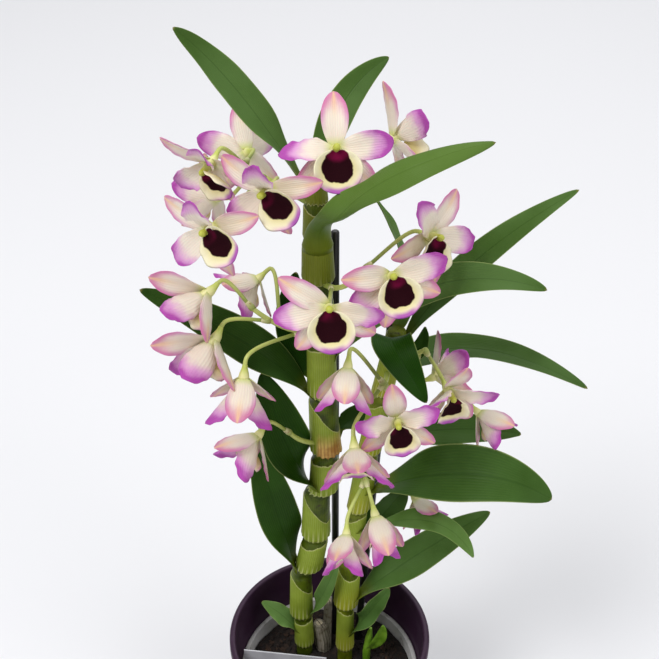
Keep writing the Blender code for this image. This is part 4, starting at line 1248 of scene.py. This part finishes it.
# %% Open the blooms
def open_bloom(name):
    """One bloom, turned to its place."""
    _, _, middle, facing, roll, size, opening, swings = BLOOMS[name]
    chance = random.Random(name)
    shut = 1 - opening
    skin = Skin()
    tone = random.Random(name + " tone").uniform(0, 1)
    for number, (turn, share, width, layer) in enumerate(TEPALS):
        swing = swings[number] if swings else 0
        swing += chance.uniform(-4, 4)
        length = BLOOM_LENGTH * share * chance.uniform(0.96, 1.03)
        rise = OPEN_RISE + (SHUT_RISE - OPEN_RISE) * shut + LAYER_RISE * layer + chance.uniform(-3, 3)
        rise += (PETAL_CLOSE if layer > 0 else -SEPAL_SPREAD) * shut + LEANS.get(name, NO_CHANGE)[number]
        tepal(
            skin,
            turn + swing,
            length,
            width * (1 + (SHUT_WIDTH - 1) * shut) * MM,
            layer * TEPAL_LAYER,
            rise,
            OPEN_BEND * opening**2 + SHUT_BEND * shut,
            TEPAL_CUP + (SHUT_PETAL_CUP * shut if layer > 0 else 0),
            chance.uniform(-12, 12) * opening + TWISTS.get(name, NO_CHANGE)[number],
            PETAL_WAVE if layer > 0 and opening >= WAVED_FROM_OPENING else 0,
            (0.55 if layer > 0 else 0.2) * MM,
            tone,
            1.0 if layer > 0 else 0.5 if turn == TEPALS[0][0] else 0.0,
        )
    lip(skin, shut, random.Random(name + " lip"))
    column(skin)
    place = bloom_frame(middle, facing, roll) @ Matrix.Scale(size, 4)
    points = np.array(skin.points) @ np.array(place.to_3x3()).T + np.array(place.translation)
    skin.points = [tuple(point) for point in points]
    return skin.finish(name, name, [PETAL_SKIN, LIP_SKIN, COLUMN_SKIN])


blooms = [open_bloom(name) for name in BLOOMS]
print("blooms:", len(blooms), "faces each", len(blooms[0].data.polygons))

# %% [markdown]
# ## Bark, stubs, shoot and card
# The growing pot is full of dark composted bark. Its top is a lumpy skin by formula. Chips lie on it,
# scattered by a Geometry Nodes tree: points on the skin, a rough crystal on each, turned and scaled at
# random from one seed, then made real.

# %% Bark finishes
BARK_SKIN, tree, shader = new_finish("bark", 0.92)
patch = grain(tree, 320, 6.0)
colour = blend(tree, fade(tree, patch, 0.4, 0.7), (15, 8, 5), (40, 24, 16))
cover(tree, shader, colour, patch, 0.002, 0.9)

CHIP_SKIN, tree, shader = new_finish("bark chips", 0.88)
tint = mark(tree, "tint")
colour = blend(tree, maths(tree, "POWER", tint, 3.0), (20, 12, 8), (70, 46, 30))
colour = blend(tree, fade(tree, grain(tree, 500, 4.0), 0.5, 0.7), colour, (30, 20, 15))
cover(tree, shader, colour, grain(tree, 900, 4.0), 0.0008, 0.8)
print("bark finishes:", BARK_SKIN.name, CHIP_SKIN.name)

# %% Fill the growing pot
SUBSTRATE_TOP = 83 * MM
SMALL_HOLES = ((-4.5, 26, 8.2), (4.5, 37, 2.9), (21, 33, 3.4), (27, 12, 3.0), (-31, -13, 2.6))
HOLES = [(*rings[0, :2], rings[0, 3]) for rings in CANES.values()]
HOLES += [tuple(value * MM for value in hole) for hole in SMALL_HOLES]
HOLE_ROOM, HOLE_DIP = 0.5 * MM, 2.5 * MM
BARK_TURNS, BARK_RINGS = 128, 40


def bark_height(x, y):
    """The lumpy top of the bark, the solid's own formula with finer lumps on it."""
    waves = np.sin(x / (5.5 * MM) + 1.0) * np.cos(y / (6.5 * MM))
    fine = np.sin(x / (1.7 * MM) + 2 * np.sin(y / (2.3 * MM))) * np.cos(y / (1.9 * MM))
    return SUBSTRATE_TOP + (1.2 * waves + 0.5 * fine) * MM


wide = INNER_RIM - 2.2 * MM - INNER_WALL - GAP
shares = np.linspace(1, 0.02, BARK_RINGS)
rings = circles([(0, 0, 0)] * BARK_RINGS, shares * (wide - 0.5 * MM), BARK_TURNS)
rings[..., 2] = bark_height(rings[..., 0], rings[..., 1])
rings[0, :, 2] -= 2 * MM
for x, y, radius in HOLES:
    near = np.hypot(rings[..., 0] - x, rings[..., 1] - y) < radius + HOLE_ROOM
    rings[..., 2] -= HOLE_DIP * near
low_ring = circles([(0, 0, POT_FLOOR + 2 * GAP + INNER_WALL)], [INNER_BASE - INNER_WALL - GAP], BARK_TURNS)
skin = Skin()
skin.add(*round_skin(np.vstack([low_ring, rings])))
skin.finish("substrate", "substrate", [BARK_SKIN])
print("bark top at", round(bark_height(0, 0) / MM, 1), "mm")


# %% Scatter the chips
CHIP_NOISE, CHIP_BEND = 350.0, 3 * MM
CHIP_GRID, CHIPS_OFF_WALL, CHIPS_OFF_STEMS, CHIPS_ABOVE = 3 * MM, 6 * MM, 4.5 * MM, 0.3 * MM


def chip_tree():
    """A Geometry Nodes tree that scatters rough chips over a surface."""
    inputs = {"Chips per square metre": "Float", "Chip size": "Float", "Seed": "Int", "Finish": "Material"}
    tree, given, result = geometry_tree("bark chips", inputs)
    spots = add(tree, "GeometryNodeDistributePointsOnFaces", Mesh=given.outputs["Geometry"])
    tree.links.new(given.outputs["Chips per square metre"], spots.inputs["Density"])
    tree.links.new(given.outputs["Seed"], spots.inputs["Seed"])
    chip = add(tree, "GeometryNodeMeshIcoSphere", Radius=given.outputs["Chip size"], Subdivisions=1)
    vector = {"data_type": "FLOAT_VECTOR"}
    turn = add(tree, "FunctionNodeRandomValue", vector, Min=(-0.4, -0.4, 0), Max=(0.4, 0.4, 6.28))
    scale = add(tree, "FunctionNodeRandomValue", vector, Min=(0.5, 0.35, 0.18), Max=(1.6, 0.9, 0.45))
    laid = add(
        tree,
        "GeometryNodeInstanceOnPoints",
        Points=spots.outputs["Points"],
        Instance=chip.outputs[0],
        Rotation=turn.outputs[0],
        Scale=scale.outputs[0],
    )
    tint = add(tree, "FunctionNodeRandomValue", {"data_type": "FLOAT"})
    marked = add(
        tree,
        "GeometryNodeStoreNamedAttribute",
        {"data_type": "FLOAT", "domain": "INSTANCE"},
        Geometry=laid.outputs[0],
        Name="tint",
        Value=tint.outputs[1],
    )
    real = add(tree, "GeometryNodeRealizeInstances", Geometry=marked.outputs[0])
    rough = add(tree, "ShaderNodeTexNoise", Scale=CHIP_NOISE)
    centred = add(tree, "ShaderNodeVectorMath", {"operation": "SUBTRACT"})
    tree.links.new(rough.outputs["Color"], centred.inputs[0])
    centred.inputs[1].default_value = (0.5, 0.5, 0.5)
    small = add(tree, "ShaderNodeVectorMath", {"operation": "SCALE"})
    tree.links.new(centred.outputs[0], small.inputs[0])
    small.inputs["Scale"].default_value = CHIP_BEND
    bent = add(tree, "GeometryNodeSetPosition", Geometry=real.outputs[0], Offset=small.outputs[0])
    worn = add(tree, "GeometryNodeSetMaterial", Geometry=bent.outputs[0], Material=given.outputs["Finish"])
    tree.links.new(worn.outputs[0], result.inputs[0])
    return tree


def chip_ground():
    """The open top of the bark, away from the wall and the stems."""
    reach = wide - CHIPS_OFF_WALL
    points, faces, step = [], [], CHIP_GRID
    for x in np.arange(-reach, reach, step):
        for y in np.arange(-reach, reach, step):
            middle = np.array([x + step / 2, y + step / 2])
            if np.hypot(*middle) > reach:
                continue
            if any(np.hypot(middle[0] - a, middle[1] - b) < r + CHIPS_OFF_STEMS for a, b, r in HOLES):
                continue
            start = len(points)
            corners = ((x, y), (x + step, y), (x + step, y + step), (x, y + step))
            points += [(a, b, float(bark_height(a, b)) + CHIPS_ABOVE) for a, b in corners]
            faces.append(tuple(range(start, start + 4)))
    mesh = bpy.data.meshes.new("chip ground")
    mesh.from_pydata(points, [], faces)
    return new_object("chip ground", mesh)


CHIPS = {"Chips per square metre": 90000.0, "Chip size": 2.6 * MM, "Seed": 7, "Finish": CHIP_SKIN}
chips = settle(run_tree(chip_ground(), chip_tree(), "bark_chips", CHIPS), "substrate")
print("chip faces:", len(chips.data.polygons))

# %% [markdown]
# Between the canes stand the cut stubs of two old ones, in grey papery rind with pale cut tops. At the
# right is a young shoot with its first leaf. The card at the front is a plain grey tag on a stem.

# %% Finishes of the stubs, shoot and card
STUB_RIND, tree, shader = new_finish("old cane rind", 0.85)
lines = veins(tree, mark(tree, "across"), mark(tree, "along"), 46.0)
colour = blend(tree, lines, (148, 140, 124), (186, 178, 160), 0.5)
colour = blend(tree, fade(tree, grain(tree, 260, 4.0), 0.45, 0.75), colour, (112, 102, 86))
colour = blend(tree, fade(tree, mark(tree, "under"), 0.45, 0.55), colour, (216, 202, 172))
crack = inverse(tree, fade(tree, maths(tree, "ABSOLUTE", mark(tree, "tone")), 0.03, 0.1))
colour = blend(tree, crack, colour, (28, 20, 16))
cover(tree, shader, colour, lines, 0.0008, 0.7)

SHOOT_GREEN, tree, shader = new_finish("shoot skin", 0.42, Coat_Weight=0.15)
colour = blend(tree, mottling(tree, 140.0), (96, 142, 24), (132, 176, 52))
cover(tree, shader, colour, veins(tree, mark(tree, "across"), mark(tree, "along"), 30.0), 0.0002, 0.4)

CARD_FACE, tree, shader = new_finish("plain card", 0.55)
colour = blend(tree, fade(tree, grain(tree, 60, 3.0), 0.4, 0.7), (186, 186, 191), (200, 200, 205))
cover(tree, shader, colour, grain(tree, 1800, 2.0), 0.0001, 0.2)
print("finishes:", STUB_RIND.name, SHOOT_GREEN.name, CARD_FACE.name)


# %% Stubs, shoot and card
STUB_STEPS, CRACK_REACH, CRACK_DEPTH = 40, 6.0, 1.5
FRONT_STUB = (
    (-4.5, 25, CANE_FOOT, 5.2),
    (-5, 25, 90, 5.9),
    (-7, 25, 104, 5.2),
    (-7.5, 25, 106.8, 3.9),
    (-7.5, 25, 107, 1.0),
)
BACK_STUB = ((-2.5, 29, 65.5, 3.3), (-1.5, 30, 115, 2.9), (-1.2, 30, 125.5, 3.1), (-1.2, 30, 127, 1.6))
SHOOT_STEM = ((27, 12, CANE_FOOT, 2.3), (27, 12, 92, 2.9), (28.5, 12, 108, 2.5), (29.5, 12, 117, 1.0))
SHOOT_LEAF = ((28, 12, 94), (35, 9, 108), (38, 9, 124))
SHOOT_STEPS, SHOOT_SIDES, SHOOT_LEAF_HALF = 36, 20, 5.5 * MM
SHOOT_ROWS, SHOOT_COLUMNS = 24, 11


def stub(skin, table, sides, phase, cut):
    """Add one old stub from a table of middle and radius rows, with its cut top."""
    rows, (x, y, z, radius) = at_steps(table, STUB_STEPS)
    angle = np.linspace(0, 2 * np.pi, sides, endpoint=False)
    ridges = 1 + 0.05 * np.sin(3 * angle + phase) + 0.025 * np.sin(9 * angle + phase)
    ridges = ridges + 0.02 * np.sin(rows[:, None] * 2.3 + 4 * angle)
    points, faces = round_skin(circles(np.stack([x, y, z], axis=1), radius[:, None] * ridges, sides))
    rise = np.repeat(rows / rows[-1], sides)
    pale = [*(rise > cut).astype(float), 0, 1]
    around = np.tile(np.abs(angle - np.pi) / np.pi, len(rows))
    split = (points[:, 1] - y[-1]) / (CRACK_REACH * MM) + 0.25 * (points[:, 0] - x[-1]) / MM
    split = np.where(points[:, 2] > z[-1] - CRACK_DEPTH * MM, split, 1.0)
    skin.add(points, faces, along=[*rise, 0, 1], across=[*around, 0, 0], under=pale, tone=list(split))


stubs = Skin()
stub(stubs, FRONT_STUB, 32, 1.0, 0.88)
stub(stubs, BACK_STUB, 28, 2.0, 0.8)
stubs.finish("old_cane_stubs", "old_cane_stubs", [STUB_RIND])

shoot = Skin()
_, (x, y, z, radius) = at_steps(SHOOT_STEM, SHOOT_STEPS)
shoot.add(*round_skin(circles(np.stack([x, y, z], axis=1), radius, SHOOT_SIDES)))
root, middle, tip = (Vector(point) * MM for point in SHOOT_LEAF)
parts = np.linspace(0, 0.97, SHOOT_ROWS)
shares = blade_shares(SHOOT_COLUMNS)
grid = []
for part in parts:
    half = SHOOT_LEAF_HALF * float(outline(0.1 + 0.9 * part, 0.9, 0.6))
    place = arc_through(root, middle, tip, part)
    grid.append([place + Vector((half * s, -0.3 * half * abs(s), 0.2 * half * s)) for s in shares])
add_blade(shoot, grid, tip, LEAF_THICKNESS, shares, parts)
shoot.finish("young_shoot", "young_shoot", [SHOOT_GREEN])

CARD_PLACE, CARD_TURN, CARD_HALF_DEPTH = (-31 * MM, -13 * MM, 0), -7, 0.45 * MM
CARD_EDGE = ((-29, 98), (-2.5, 92), (-2.5, 62), (2.5, 62), (2.5, 92), (29, 98), (29, 120), (-29, 120))
card = Skin()
count = len(CARD_EDGE)
turned = Matrix.Translation(CARD_PLACE) @ Matrix.Rotation(math.radians(CARD_TURN), 4, "Z")
depths = (-CARD_HALF_DEPTH, CARD_HALF_DEPTH)
points = [turned @ Vector((x * MM, depth, z * MM)) for depth in depths for x, z in CARD_EDGE]
sides = [(n, (n + 1) % count, count + (n + 1) % count, count + n) for n in range(count)]
card.add(points, [tuple(range(count)), tuple(range(count, 2 * count)), *sides])
tag = card.finish("label_card", "label_card", [CARD_FACE], smooth=False)
print("card faces:", len(tag.data.polygons))

# %% [markdown]
# ## The table
# The floor is a plain sheet that takes the soft shadow. It isn't part of the plant.

# %% Floor
FLOOR_SHEET, tree, shader = new_finish("pale table", 0.6, Specular_IOR_Level=0.2)
shader.inputs["Base Color"].default_value = (0.83, 0.83, 0.85, 1)
mesh = bpy.data.meshes.new("floor")
FLOOR_REACH = 6.0
corners = [(x * FLOOR_REACH, y * FLOOR_REACH, 0) for x, y in ((-1, -1), (1, -1), (1, 1), (-1, 1))]
mesh.from_pydata(corners, [], [(0, 1, 2, 3)])
mesh.materials.append(FLOOR_SHEET)
floor = new_object("floor", mesh)
print("floor laid")
